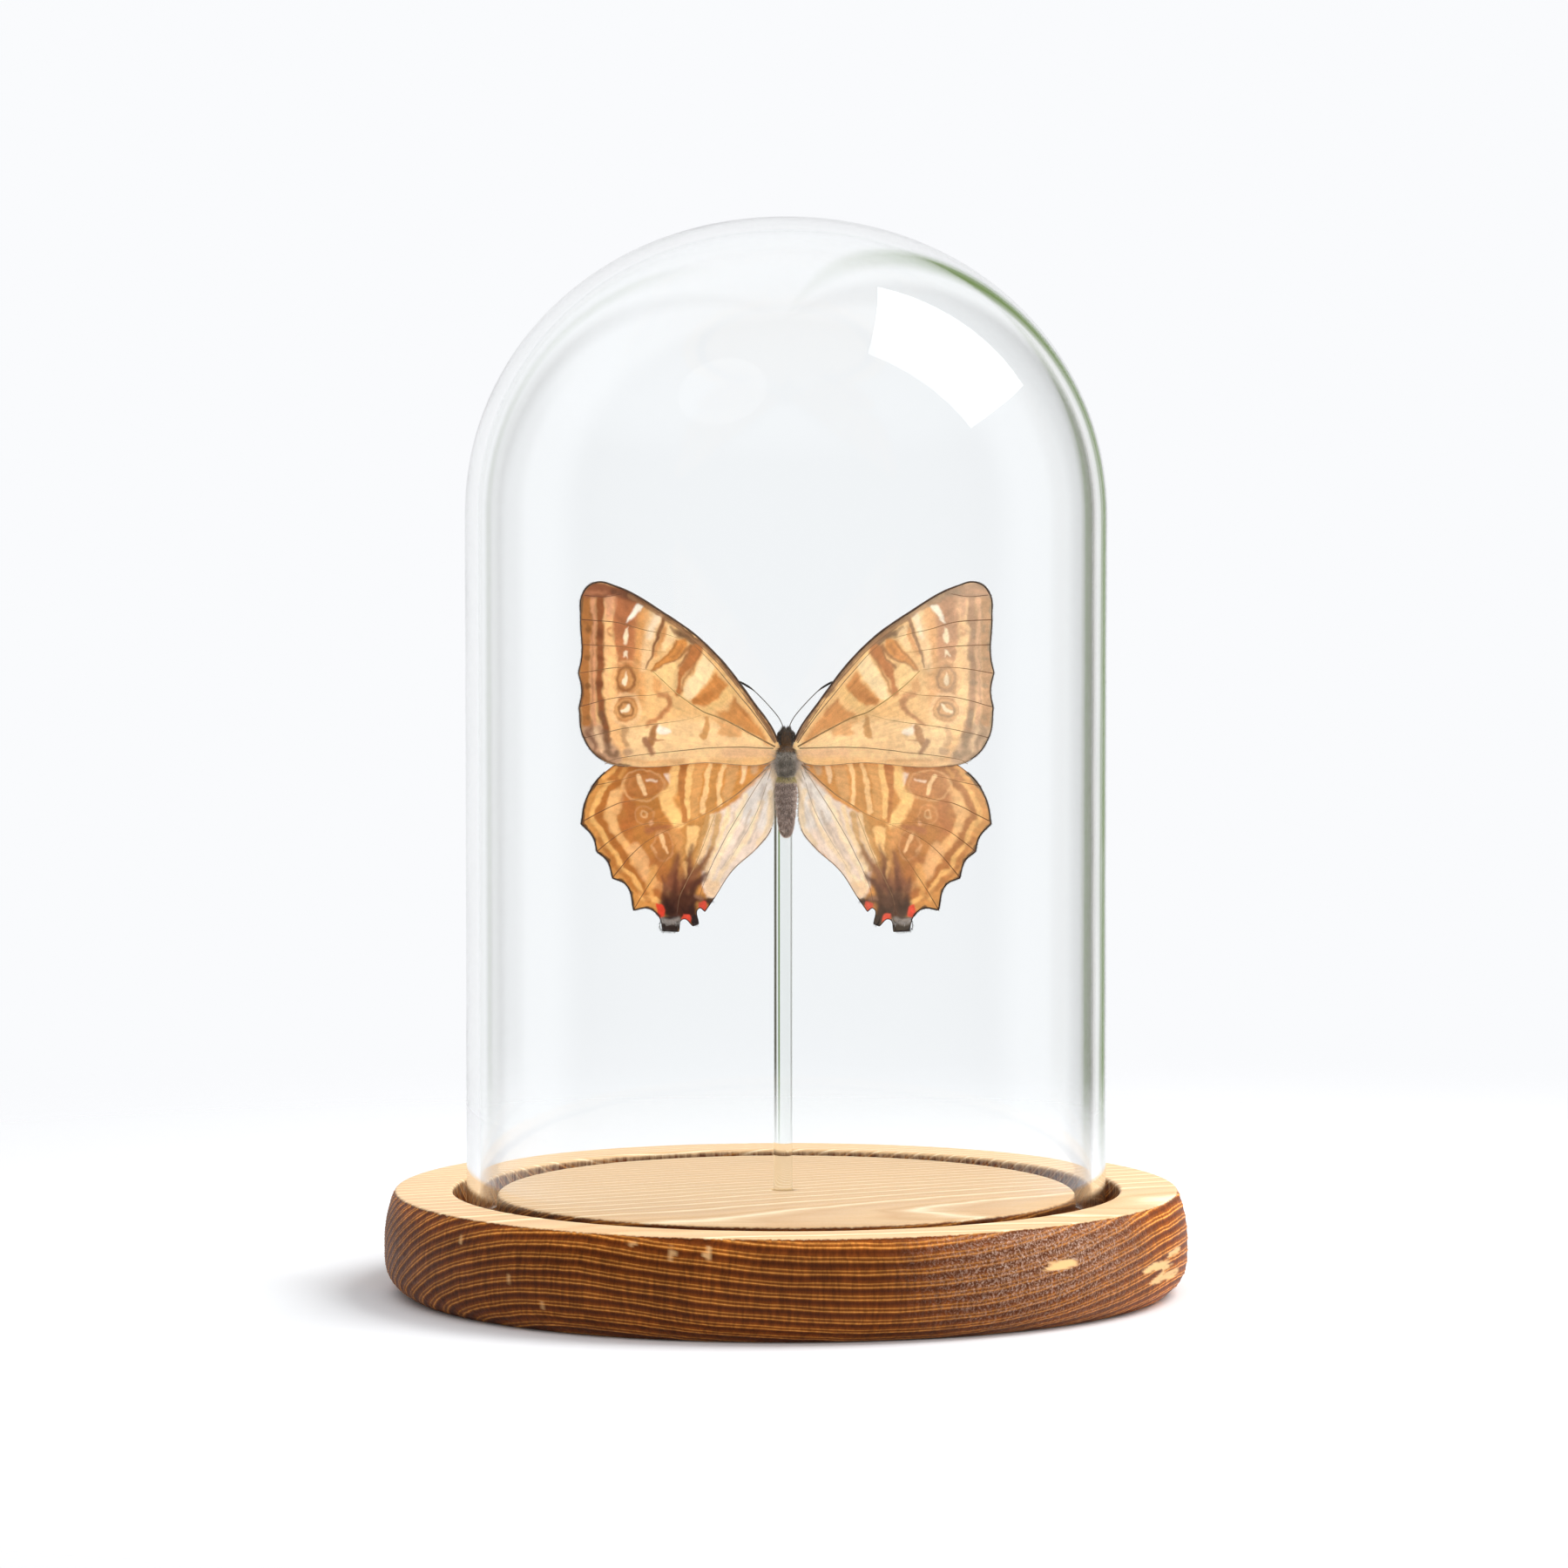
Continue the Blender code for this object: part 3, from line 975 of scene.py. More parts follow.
@dataclass
class WoodenBase:
    """One turned disc of pine: bulged scorched side, pale rim, groove for the glass, plateau and rod hole."""

    height: float = 19.0
    widest_radius: float = 75.0
    widest_height: float = 9.5
    top_radius: float = 73.1
    foot_radius: float = 70.6
    edge_round: float = 0.6
    groove_outer: float = 62.2
    groove_depth: float = 6.0
    plateau_radius: float = 54.0
    plateau_drop: float = 0.2
    plateau_round: float = 0.9
    hole_radius: float = 2.05
    hole_depth: float = 10.0
    hole_x: float = -0.6
    steps: int = 600
    relief: float = 0.16
    # The tree's pith runs almost along X below the base, slanting back to the right
    pith_y: float = -45.0
    pith_slant: float = 0.36
    pith_z: float = -84.0
    pith_rise: float = 0.05
    finish: ScorchedPine = field(default_factory=lambda: ScorchedPine("flamed_pine"))
    chips: tuple[Chip, ...] = (
        Chip(-48.5, 12.0, 2.6, 0.9), Chip(-24.0, 8.4, 5.0, 0.9), Chip(-21.0, 6.0, 5.5, 0.8),
        Chip(-17.0, 10.0, 4.0, 0.7), Chip(-112.0, 17.4, 0.9, 0.5, 0.5), Chip(-106.0, 16.2, 0.35, 1.3, 0.5),
        Chip(-101.0, 16.4, 0.4, 1.4, 0.6), Chip(-143.0, 15.2, 0.35, 1.3, 0.5),
        Chip(-132.0, 9.6, 0.3, 0.9, 0.35), Chip(-126.0, 5.2, 0.4, 0.7, 0.35),
        Chip(40.0, 11.0, 3.0, 0.8, 0.8), Chip(118.0, 8.0, 4.0, 0.8, 0.7), Chip(165.0, 14.0, 1.0, 1.8, 0.6),
    )

    def side_radius(self, height: float) -> float:
        """The side bulges to the widest height and tucks in more sharply towards the foot."""
        rise = height - self.widest_height
        if rise > 0:
            return self.widest_radius - (self.widest_radius - self.top_radius) * (
                rise / (self.height - self.widest_height)
            ) ** 2
        return self.widest_radius - (
            self.widest_radius - self.foot_radius
        ) * (-rise / self.widest_height) ** 4

    def profile(self) -> tuple[Array, Array]:
        """Radius and height from the hole's floor out and down to the foot, with each point's scorching."""
        plateau = self.height - self.plateau_drop
        hole_floor = plateau - self.hole_depth
        floor = self.height - self.groove_depth
        inner = self.plateau_radius - self.plateau_round
        heights = np.arange(self.height - self.edge_round - 0.32, 0.5, -0.32)
        parts: list[tuple[list[Point2] | Array, float, float]] = [
            (dense([(0.0, hole_floor), (self.hole_radius, hole_floor)], 1.2), 0.5, 0.5),
            (
                dense([(self.hole_radius, hole_floor + 0.1), (self.hole_radius, plateau - 0.15)], 2.5), 0.5,
                0.2,
            ),
            (dense([(self.hole_radius + 0.12, plateau), (inner, plateau)], 1.35), 0.0, 0.0),
            (quarter((inner, plateau - self.plateau_round), self.plateau_round, 84, 0, 5), 0.1, 1.0),
            (
                dense([(self.plateau_radius, plateau - 1.2), (self.plateau_radius, floor + 0.3)], 0.8), 1.0,
                1.0,
            ),
            (dense([(self.plateau_radius + 0.3, floor), (self.groove_outer - 0.3, floor)], 1.4), 0.95, 0.7),
            (
                dense([(self.groove_outer, floor + 0.3), (self.groove_outer, self.height - 1.0)], 0.8),
                0.75, 0.6,
            ),
            (
                quarter(
                    (self.groove_outer + self.edge_round, self.height - self.edge_round), self.edge_round,
                    180, 96, 4,
                ),
                0.5, 0.0,
            ),
            (
                dense([(self.groove_outer + 0.7, self.height), (self.top_radius - 0.7, self.height)], 0.9),
                0.0, 0.0,
            ),
            (
                quarter(
                    (self.top_radius - self.edge_round, self.height - self.edge_round), self.edge_round, 84,
                    0, 5,
                ),
                0.2, 0.9,
            ),
            ([(self.side_radius(h), h) for h in heights], 1.0, 1.0),
            ([(self.side_radius(0.35), 0.35), (self.foot_radius - 0.25, 0.0)], 1.0, 0.9),
            (dense([(self.foot_radius - 1.0, 0.0), (0.0, 0.0)], 9.0), 0.3, 0.3),
        ]
        rows = np.vstack([np.array(part, float) for part, _, _ in parts])
        scorch = np.concatenate([np.linspace(start, end, len(part)) for part, start, end in parts])
        return rows, scorch

    def rings(self, points: Array) -> Array:
        """Distance from the tree's pith at each point, wavering as a grown ring does."""
        pith_y = self.pith_y + self.pith_slant * points[:, 0]
        pith_z = self.pith_z + self.pith_rise * points[:, 0]
        away = np.hypot(points[:, 1] - pith_y, points[:, 2] - pith_z)
        stretched = points * np.array((0.45, 1.0, 1.0))
        return away + 0.8 * value_noise(stretched, 21.0, 5) + 0.28 * layered_noise(stretched, 6.0, 9)

    def build(self) -> Skin:
        """The whole base with its grain relief and the values that its finish reads."""
        rows, scorch_rows = self.profile()
        middle = self.hole_x * (1 - smoothstep(6.0, 30.0, rows[:, 0]))
        middle[-8:] = 0.0
        skin = turned(rows, self.steps, middle)
        scorch = np.concatenate((np.repeat(scorch_rows[1:-1], self.steps), scorch_rows[[0, -1]]))
        points = skin.points
        ring = self.rings(points)
        phase = (ring / RING_PERIOD) % 1.0
        proud = np.exp(-(((phase - 0.46) / 0.09) ** 2)) + 0.6 * np.exp(-(((phase - 0.75) / 0.08) ** 2))
        bearing = np.degrees(np.arctan2(points[:, 1], points[:, 0]))
        side = (np.hypot(points[:, 0], points[:, 1]) > self.foot_radius - 0.5) & (scorch > 0.7)
        depth = np.where(side, self.relief, 0.02) * (1 - np.clip(proud, 0, 1))
        depth = depth + np.where(side, 0.05, 0.0) * np.abs(layered_noise(points * (1, 1, 0.3), 0.9, 31))
        depth[points[:, 2] <= 0.01] = 0.0
        chip = np.zeros(len(points))
        streak = layered_noise(np.column_stack((bearing * 0.35, ring * 2.2)), 1.0, 77)
        for mark in self.chips:
            turn = (bearing - mark.bearing) / mark.reach
            rise = (points[:, 2] - mark.height) / mark.tall
            body = 1.15 - np.hypot(turn, rise) + 0.55 * streak
            chip = np.maximum(chip, mark.strength * smoothstep(0.0, 0.4, body) * side)
        skin.points = points - point_normals(skin) * (depth + 0.12 * chip)[:, None]
        # Painted sheen: the charred side is painted with grey speckle where the light glances off it, at the right
        # front and more towards the top.
        char_sheen = smoothstep(30.0, 5.0, np.abs(bearing + 48)) * side
        char_sheen *= 0.35 + 0.65 * smoothstep(2.0, 13.0, points[:, 2] + 3 * streak)
        # Painted light and shade: the scorched side is painted much brighter towards the right and a little
        # brighter towards the left, where the light falls on it, and brighter near its top edge. It is also
        # brighter towards the foot. The pale rim is painted brighter than the plateau.
        shade = 0.95 + 0.2 * smoothstep(115.0, 160.0, -bearing) + 1.25 * smoothstep(-62.0, -10.0, bearing)
        shade += 0.25 * smoothstep(6.5, 1.0, points[:, 2]) + 0.75 * smoothstep(14.5, 18.6, points[:, 2])
        reach = np.hypot(points[:, 0], points[:, 1])
        shade = np.where(side, shade, 1.03 + 0.24 * smoothstep(58.0, 63.0, reach))
        skin.values = {"ring": ring, "scorch": scorch, "char_sheen": char_sheen, "chip": chip, "shade": shade}
        return skin

    def dress(self) -> None:
        """Makes the base and shows it in place of its CAD node."""
        show_skin(
            "turned_base", self.build(), self.finish, ("wooden_base",),
            "Turned and flamed pine with grain relief",
        )


@dataclass
class GlassDome:
    """Blown dome with straight sides, a full round crown and a fire-polished rim."""

    radius: float = 59.6
    top: float = 200.0
    crown: float = 55.5
    squareness: float = 2.05
    wall: float = 2.5
    rim_height: float = 13.3
    steps: int = 192
    finish: ClearGlass = field(default_factory=lambda: ClearGlass("clear_blown_glass"))

    def build(self) -> Skin:
        """The closed wall of glass, outside and inside."""
        base = self.top - self.crown
        angles = np.radians(np.linspace(90.0, 0.0, 56))
        power = 2 / self.squareness
        radius = self.radius * np.clip(np.cos(angles), 0, 1) ** power
        radius[0] = 0.0
        outer = np.column_stack((radius, base + self.crown * np.sin(angles) ** power))
        slope = np.gradient(outer, axis=0)
        normal = np.column_stack((-slope[:, 1], slope[:, 0]))
        normal /= np.linalg.norm(normal, axis=1)[:, None]
        normal[0], normal[-1] = (0.0, 1.0), (1.0, 0.0)
        inner = outer - normal * self.wall
        inner[0, 0] = 0.0
        half = self.wall / 2
        foot = self.rim_height + half
        # Rows close to the rim keep its roundness out of the straight wall's shading
        heights = [*np.linspace(base, foot + 1.5, 16)[1:], foot + 0.25, foot + 0.05]
        rim = quarter((self.radius - half, foot), half, 0, -180, 16)
        rows = np.vstack(
            (
                outer, [(self.radius, h) for h in heights], rim,
                [(self.radius - self.wall, h) for h in heights[::-1]], inner[::-1],
            ),
        )
        return turned(rows, self.steps)

    def dress(self) -> None:
        """Makes the dome and shows it in place of its CAD node."""
        show_skin(
            "blown_dome", self.build(), self.finish, ("glass_dome",),
            "Clear dome with a rounded rim",
        )


@dataclass
class Mount:
    """The clear rod in the plateau's hole and the dab of glue that holds the butterfly on it."""

    rod_x: float = -0.6
    rod_radius: float = 1.75
    rod_bottom: float = 9.1
    rod_top: float = 98.6
    edge: float = 0.3
    glue_centre: Point3 = (-0.6, -0.8, 100.4)
    glue_half: Point3 = (1.35, 1.5, 1.5)
    rod_finish: ClearGlass = field(
        default_factory=lambda: ClearGlass(
            "clear_drawn_rod", tint="#FAFCFA", lamp_tint="#F6F9F7", ior=1.49, mirror=1.0, ripple=14.0,
            ripple_depth=0.006,
        )
    )
    glue_finish: Adhesive = field(default_factory=lambda: Adhesive("clear_glue"))

    def rod(self) -> Skin:
        """The rod with softened ends."""
        inner = self.rod_radius - self.edge
        top, bottom = self.rod_top - self.edge, self.rod_bottom + self.edge
        rows = [(0.0, self.rod_top)] + quarter((inner, top), self.edge, 90, 0, 5)
        rows += [
            (self.rod_radius, h)
            for h in (top - 0.05, *np.linspace(top - 0.6, bottom + 0.6, 12), bottom + 0.05)
        ]
        rows += quarter((inner, bottom), self.edge, 0, -90, 5) + [(0.0, self.rod_bottom)]
        profile = np.array(rows, float)
        return turned(profile, 64, np.full(len(profile), self.rod_x))

    def dress(self) -> None:
        """Makes the rod and the glue and shows them in place of their CAD nodes."""
        show_skin("drawn_rod", self.rod(), self.rod_finish, ("support_rod",), "Clear rod")
        bead = ovoid(self.glue_centre, self.glue_half, 40, 24, lump=0.08, seed=3)
        show_skin("set_glue", bead, self.glue_finish, ("glue_dab",), "Bead of set glue")


def ovoid(
    centre: Sequence[float], half: Sequence[float], steps: int, rows: int, lump: float = 0.0, seed: int = 1
) -> Skin:
    """A rounded body, uneven like a grown or dried thing.

    Args:
        centre: Its middle.
        half: Half its size along each axis.
        steps: Points in each ring.
        rows: Rings from top to bottom.
        lump: How uneven it is, as a share of its size.
        seed: Picks the unevenness.

    Returns:
        The closed surface.
    """
    angles = np.linspace(math.pi / 2, -math.pi / 2, rows)
    profile = np.column_stack((np.cos(angles), np.sin(angles)))
    profile[[0, -1], 0] = 0.0
    skin = turned(profile, steps)
    skin.points *= 1 + lump * layered_noise(skin.points, 0.9, seed)[:, None]
    skin.points = skin.points * np.array(half) + np.array(centre)
    return skin


# --- Wing pattern


def read_places(route: str) -> Array:
    """Places on a wing as rows, from text such as "1.5,0.9 6.3,8.6"."""
    return np.array([place_text.split(",") for place_text in route.split()], float)


class Form(Enum):
    """How a mark covers the wing."""

    STROKE = "stroke"
    PATCH = "patch"
    SPOT = "spot"
    LOOP = "loop"
    BAND = "band"


STROKE, PATCH, SPOT, LOOP, BAND = Form


@dataclass(frozen=True)
class Mark:
    """One soft-edged mark of scales on a wing.

    The route's places, with spaces between them, are out from the body's middle line and up from the wing
    joint. For a stroke, size is its width at its start and end; for a spot or a loop, its half width and
    half height; for a band, how far in from the outer margin it starts and ends.
    """

    form: Form
    colour: str
    route: str
    size: Point2 = (1.0, 1.0)
    edge: float = 0.5
    strength: float = 1.0
    line: float = 0.4  # width of a loop's line

    def cover(self, points: Array, margin: Array) -> Array:
        """How much of the mark lies at each point.

        Args:
            points: Places on the wing as rows.
            margin: Each point's distance from the outer margin.

        Returns:
            Shares from 0 to 1.
        """
        half_edge = self.edge / 2
        if self.form is BAND:
            near, far = self.size
            return smoothstep(near - half_edge, near + half_edge, margin) * (
                1 - smoothstep(far - half_edge, far + half_edge, margin)
            )
        places = read_places(self.route)
        if self.form is STROKE:
            route = smooth_path(places, 5) if len(places) > 2 else places
            distance, along = path_distance(points, route)
            half = (self.size[0] + (self.size[1] - self.size[0]) * along) / 2
            return 1 - smoothstep(-half_edge, half_edge, distance - half)
        if self.form is PATCH:
            ring = smooth_path(np.vstack((places, places[:1])), 4)
            distance, _ = path_distance(points, ring)
            signed = np.where(inside(points, ring), distance, -distance)
            return smoothstep(-half_edge, half_edge, signed)
        reach = (np.hypot(*((points - places[0]) / np.array(self.size)).T) - 1) * min(self.size)
        if self.form is LOOP:
            reach = np.abs(reach) - self.line / 2
        return 1 - smoothstep(-half_edge, half_edge, reach)


FOREWING_MARKS: tuple[Mark, ...] = (
    Mark(PATCH, "#FBD39C", "29,-3.4 2,-1.2 2,0.6 15,5.2 25.9,4 30,3.4 31,-2", edge=2),
    Mark(STROKE, "#E5A866", "26.4,26.6 27,24.2 27.1,19.8 27.4,14.7 27.5,11.7 27.6,8", (2.8, 2.2), 1.8),
    Mark(STROKE, "#CC8452", "29.2,27.6 29.8,23.7 29.9,19.8 29.9,15.9 29.8,11.7 29.8,6.3", (4.4, 3), 1.1),
    Mark(STROKE, "#B16E45", "29.4,28.4 29.6,25.5 29.9,21.5", (5.4, 3), 2.2, 0.9),
    Mark(
        PATCH, "#FDC98A",
        "33.7,27.2 33.6,21 33.7,15 33.4,8 32.7,3 31.8,-1.6 29.2,-2 30.6,3 31.2,8 31.4,12 31.2,17 "
        "31.6,19 32.5,21.4 31.9,24 31.8,27.4",
        edge=0.6,
    ),
    Mark(STROKE, "#DDA17A", "32.6,28.2 32.7,24.6", (2.4, 1.6), 1.4, 0.9),
    Mark(STROKE, "#C9804F", "32.4,22.2 33.2,21.6 32.4,20.8", (0.5, 0.5), 0.5, 0.7),
    Mark(PATCH, "#C69A78", "37.6,4.4 34.6,4.6 32.6,1.8 30.4,-2.2 33,-3.4 36,-1.2 38,1.4", edge=1.6),
    Mark(STROKE, "#E6BC92", "35.6,4.4 34.9,2 33.8,-0.2", (0.9, 0.5), 0.9, 0.8),
    Mark(STROKE, "#DDA175", "35.6,28 35.7,21.5 35.7,15.9 35.8,10.3 35.6,4.6", (1, 0.9), 0.5),
    Mark(
        STROKE, "#9E5C33",
        "34.3,28.2 34.5,21.5 34.5,15.9 34.6,11.8 34.3,7.5 33.7,4.7 33.2,1.6",
        (1.5, 1.3), 0.8,
    ),
    Mark(SPOT, "#7C4526", "34.6,21.4", (0.5, 0.9), 0.6, 0.75),
    Mark(SPOT, "#7C4526", "34.6,16.6", (0.45, 0.7), 0.6, 0.5),
    Mark(SPOT, "#7C4526", "34.7,11.9", (0.6, 0.7), 0.6, 0.8),
    Mark(STROKE, "#7E5638", "34.2,6.4 33.8,4.4", (1.2, 0.9), 0.8, 0.8),
    Mark(STROKE, "#846043", "33.6,2.6 33,0.2", (1.4, 1), 1, 0.8),
    Mark(STROKE, "#8A6548", "33.4,-0.6 32,-1.6 31.4,-1", (1.1, 0.9), 0.8, 0.8),
    Mark(STROKE, "#9A7152", "35.2,-0.9 33.9,-1.9", (0.7, 0.5), 0.7, 0.7),
    Mark(STROKE, "#8B5D40", "36.9,6.2 36.2,4.4 36.9,2.6", (0.7, 0.5), 0.6, 0.7),
    Mark(STROKE, "#86593F", "36.6,2.4 35.4,1 35.6,-0.6", (0.8, 0.5), 0.6, 0.75),
    Mark(STROKE, "#F3CFA2", "35.6,3.4 34.6,1.4 34.4,-0.6", (0.6, 0.4), 0.5, 0.7),
    Mark(STROKE, "#B9783F", "37,27.6 36.9,22 37.1,16.4 37.2,10.3 37,4.8", (1.9, 1.7), 0.6),
    Mark(SPOT, "#84542C", "36.6,22.2", (0.45, 0.7), 0.5, 0.7),
    Mark(SPOT, "#84542C", "36.7,16.6", (0.6, 0.4), 0.5, 0.6),
    Mark(SPOT, "#84542C", "36.7,11.5", (0.6, 0.5), 0.5, 0.75),
    Mark(SPOT, "#8F6238", "36.7,5.6", (0.5, 0.6), 0.5, 0.6),
    Mark(STROKE, "#96613A", "36.2,26 36,23", (0.5, 0.4), 0.4, 0.5),
    Mark(STROKE, "#A2683C", "35.9,21.4 35.7,18.2 36,15 35.8,11.8 36,8.4", (0.35, 0.3), 0.35, 0.6),
    Mark(STROKE, "#F0C08A", "33.5,27 33.3,21.5 33.3,16 33.2,9", (0.5, 0.4), 0.4, 0.6),
    Mark(PATCH, "#955A3B", "37.6,28.6 35.6,30.6 31.5,29.9 26.6,27.5 28.2,26.9 31.5,28 37.4,27.8", edge=0.9),
    Mark(STROKE, "#B97A54", "37,28.6 35.4,28.9 33.4,28.8", (0.8, 0.6), 0.7, 0.8),
    Mark(STROKE, "#7E5036", "32,28.9 28.6,27.9 26.4,26.7", (1, 1.1), 0.7, 0.9),
    Mark(PATCH, "#FBEFDC", "26.4,26.2 27.6,26.6 28.6,25.2 29.3,23.1 28.4,23.7 27.4,24.9", edge=0.5),
    Mark(PATCH, "#FCE4C0", "29.1,22.2 29.8,21.6 30.3,20.5 29.8,19.3 29.3,20.2", edge=0.4),
    Mark(SPOT, "#B97748", "29.9,17.2", (1.6, 1.9), 0.9, 0.6),
    Mark(PATCH, "#FBE3C2", "29.4,18.1 29.9,17.9 30.3,16.8 29.6,17.1 29.2,16.6", edge=0.35),
    Mark(SPOT, "#D39A5C", "29.6,12.8", (2.3, 2.7), 0.7, 0.8),
    Mark(LOOP, "#A4683A", "29.6,12.8", (1.6, 2.1), 0.45, 0.9, 0.5),
    Mark(LOOP, "#E8B377", "29.5,12.8", (2.8, 3.2), 0.6, 0.7, 0.5),
    Mark(PATCH, "#FBE3C0", "29.5,14.1 29.9,13.2 30.3,11.9 29.6,11.6 29.2,12.8", edge=0.4),
    Mark(SPOT, "#DBA364", "29.6,7.1", (2, 2.1), 0.6, 0.85),
    Mark(LOOP, "#A06A3C", "29.7,7.1", (1.25, 1.35), 0.4, 0.9, 0.45),
    Mark(LOOP, "#B9793F", "29.6,7.1", (2.1, 2.3), 0.4, 0.6, 0.3),
    Mark(LOOP, "#FBCD97", "29.6,7.1", (2.7, 2.9), 0.6, 0.8, 0.7),
    Mark(STROKE, "#FBE5C4", "29.2,7.9 29.6,7.2 30.4,6.7", (0.6, 0.6), 0.35),
    Mark(STROKE, "#F5CD99", "24.2,24.6 25.2,20.9 25.9,17.5 26.3,15", (2.6, 1.7), 1.2),
    Mark(STROKE, "#FCE2BF", "24,24.4 24.6,22.6 25.2,20.6", (1.5, 0.9), 0.8),
    Mark(STROKE, "#E9B377", "25.9,25.2 26.2,23.4", (1, 0.6), 0.8, 0.7),
    Mark(STROKE, "#DB9A5C", "22.5,21.8 23.4,19.4 24.4,17.4", (1.4, 0.8), 1, 0.9),
    Mark(STROKE, "#9B6842", "22.6,24 23.2,22.4 24.1,19.9 24.9,17.3 25.8,14.7", (0.85, 0.3), 0.4),
    Mark(PATCH, "#FCD6A0", "22.1,23 20.4,21.6 20.6,20.2 22.4,18 23,18.6 22.4,20.6", edge=0.7),
    Mark(PATCH, "#E0994F", "18.4,20.2 18.6,18.2 21.4,15.9 24.6,14.3 23.5,16.1 21.2,18.4 20.2,20", edge=0.5),
    Mark(STROKE, "#B8763A", "20.3,19.9 21.2,18.1 23.2,16.1 24.7,14.2", (0.4, 0.25), 0.35, 0.8),
    Mark(STROKE, "#A96A38", "17.8,18.9 19.4,17.1 22,15.5 24.6,14.2", (0.6, 0.25), 0.45, 0.85),
    Mark(STROKE, "#B87440", "19.3,18.9 20.3,17.6 21.6,16.8", (0.7, 0.3), 0.6, 0.5),
    Mark(STROKE, "#7B543A", "19.9,21.2 18.2,20.4 16.6,19.2", (1.3, 1.1), 0.9, 0.9),
    Mark(STROKE, "#8E6443", "21.4,22.4 20.4,21.4", (0.5, 0.8), 0.5, 0.7),
    Mark(STROKE, "#C88047", "16.6,18.2 17.8,15.9 19.2,14.2 20.1,12.3 20.2,10.2", (2.3, 1.2), 0.6),
    Mark(STROKE, "#A5673A", "17.6,18.8 19,16.1 20.6,14.2 20.7,11.2", (0.5, 0.4), 0.5, 0.85),
    Mark(STROKE, "#AA6B3B", "15.8,17.5 17.1,15 18.5,12.9 19.5,10.4", (0.6, 0.4), 0.6, 0.8),
    Mark(PATCH, "#FBDEAE", "15.2,17 13.4,14.4 15.6,11.2 17.8,8.8 19.2,9.8 18,12.6 16.6,14.8", edge=0.6),
    Mark(PATCH, "#D6914E", "12.8,13.8 10.6,10.9 12.2,9.5 14.6,7.6 17.4,8.4 15.6,10.6 13.8,12.6", edge=0.7),
    Mark(STROKE, "#BE7A3C", "13.8,10 15.4,8.8 16.6,8.6", (1.2, 1), 0.9, 0.85),
    Mark(STROKE, "#C07E40", "13.2,12.8 12.2,11.2 11.2,10.4", (0.8, 0.5), 0.8, 0.7),
    Mark(STROKE, "#F0C684", "10.4,10.5 12,8.6 14.3,7", (1.7, 1.5), 0.8),
    Mark(PATCH, "#D89654", "9.6,8.9 2.9,0.7 6.8,2.6 12.6,5.9 11,6.9", edge=1.1),
    Mark(STROKE, "#BC773C", "9.5,8.7 8.2,7.2 7.5,5.9", (0.5, 0.7), 0.7, 0.7),
    Mark(STROKE, "#BE7C40", "12.6,5.6 11.2,5", (0.7, 0.5), 0.7, 0.5),
    Mark(PATCH, "#FBD596", "24.6,14.1 20.6,15.6 20.7,10.7", edge=0.5, strength=0.8),
    Mark(PATCH, "#E3A665", "24.6,13.2 23.2,11.9 23.8,10.3 24.9,10.6", edge=0.6, strength=0.8),
    Mark(STROKE, "#D1945E", "23.6,9.9 21.9,9.2 21.7,7.6 23.2,5.9 25.6,4.2", (1.2, 0.7), 0.7),
    Mark(STROKE, "#BC7E4C", "22,9 21.9,7.6 23,6.1 24.4,5", (0.8, 0.5), 0.6, 0.6),
    Mark(STROKE, "#D29D60", "14.8,5.6 14.9,3.9 15.3,2.2", (0.7, 1.5), 0.5),
    Mark(PATCH, "#E6B074", "13.4,5.2 8.6,3.4 9,2 12.6,2.4 12.2,3.8", edge=0.7),
    Mark(STROKE, "#B27845", "24.1,3.9 24.8,2.4 25.3,1", (1, 1.4), 0.6, 0.95),
    Mark(STROKE, "#A87450", "26.4,1.3 25.4,0 24.8,-1", (1, 0.9), 0.6, 0.95),
    Mark(STROKE, "#B98257", "25.6,1.5 22.6,1.4", (0.6, 0.2), 0.4, 0.9),
    Mark(STROKE, "#CFA06F", "29.8,3.5 30.2,1.9 29.6,0.4", (1.2, 0.9), 0.7, 0.9),
    Mark(SPOT, "#CBA07A", "29.3,-0.9", (0.9, 0.7), 0.6, 0.9),
    Mark(STROKE, "#DDA76C", "30,-2.2 25,-2.6 19,-2.4", (0.7, 0.7), 0.8, 0.6),
    # Painted glint: a white highlight on the membrane
    Mark(PATCH, "#FFF2E6", "23.6,4.2 21.4,2.9 22.4,2.3 23.8,2.8", edge=0.6, strength=0.75),
    Mark(STROKE, "#E6BA8F", "11,-0.9 3,-1", (1.8, 1.6), 1.2, 0.7),
    Mark(STROKE, "#A57650", "1.9,1.6 6.6,8.7 12.8,16.4 18.4,21.4 24,25.2 29,28.2", (1, 0.9), 0.4, 0.85),
    Mark(STROKE, "#6E4A34", "1.9,1.4 6.2,8.4 12.4,16.4 18.2,21.6 23.6,25.4 30,29.2", (0.5, 0.5), 0.3, 0.6),
    Mark(BAND, "#7A5234", "", (-1, 0.28), 0.3, 0.9),
)

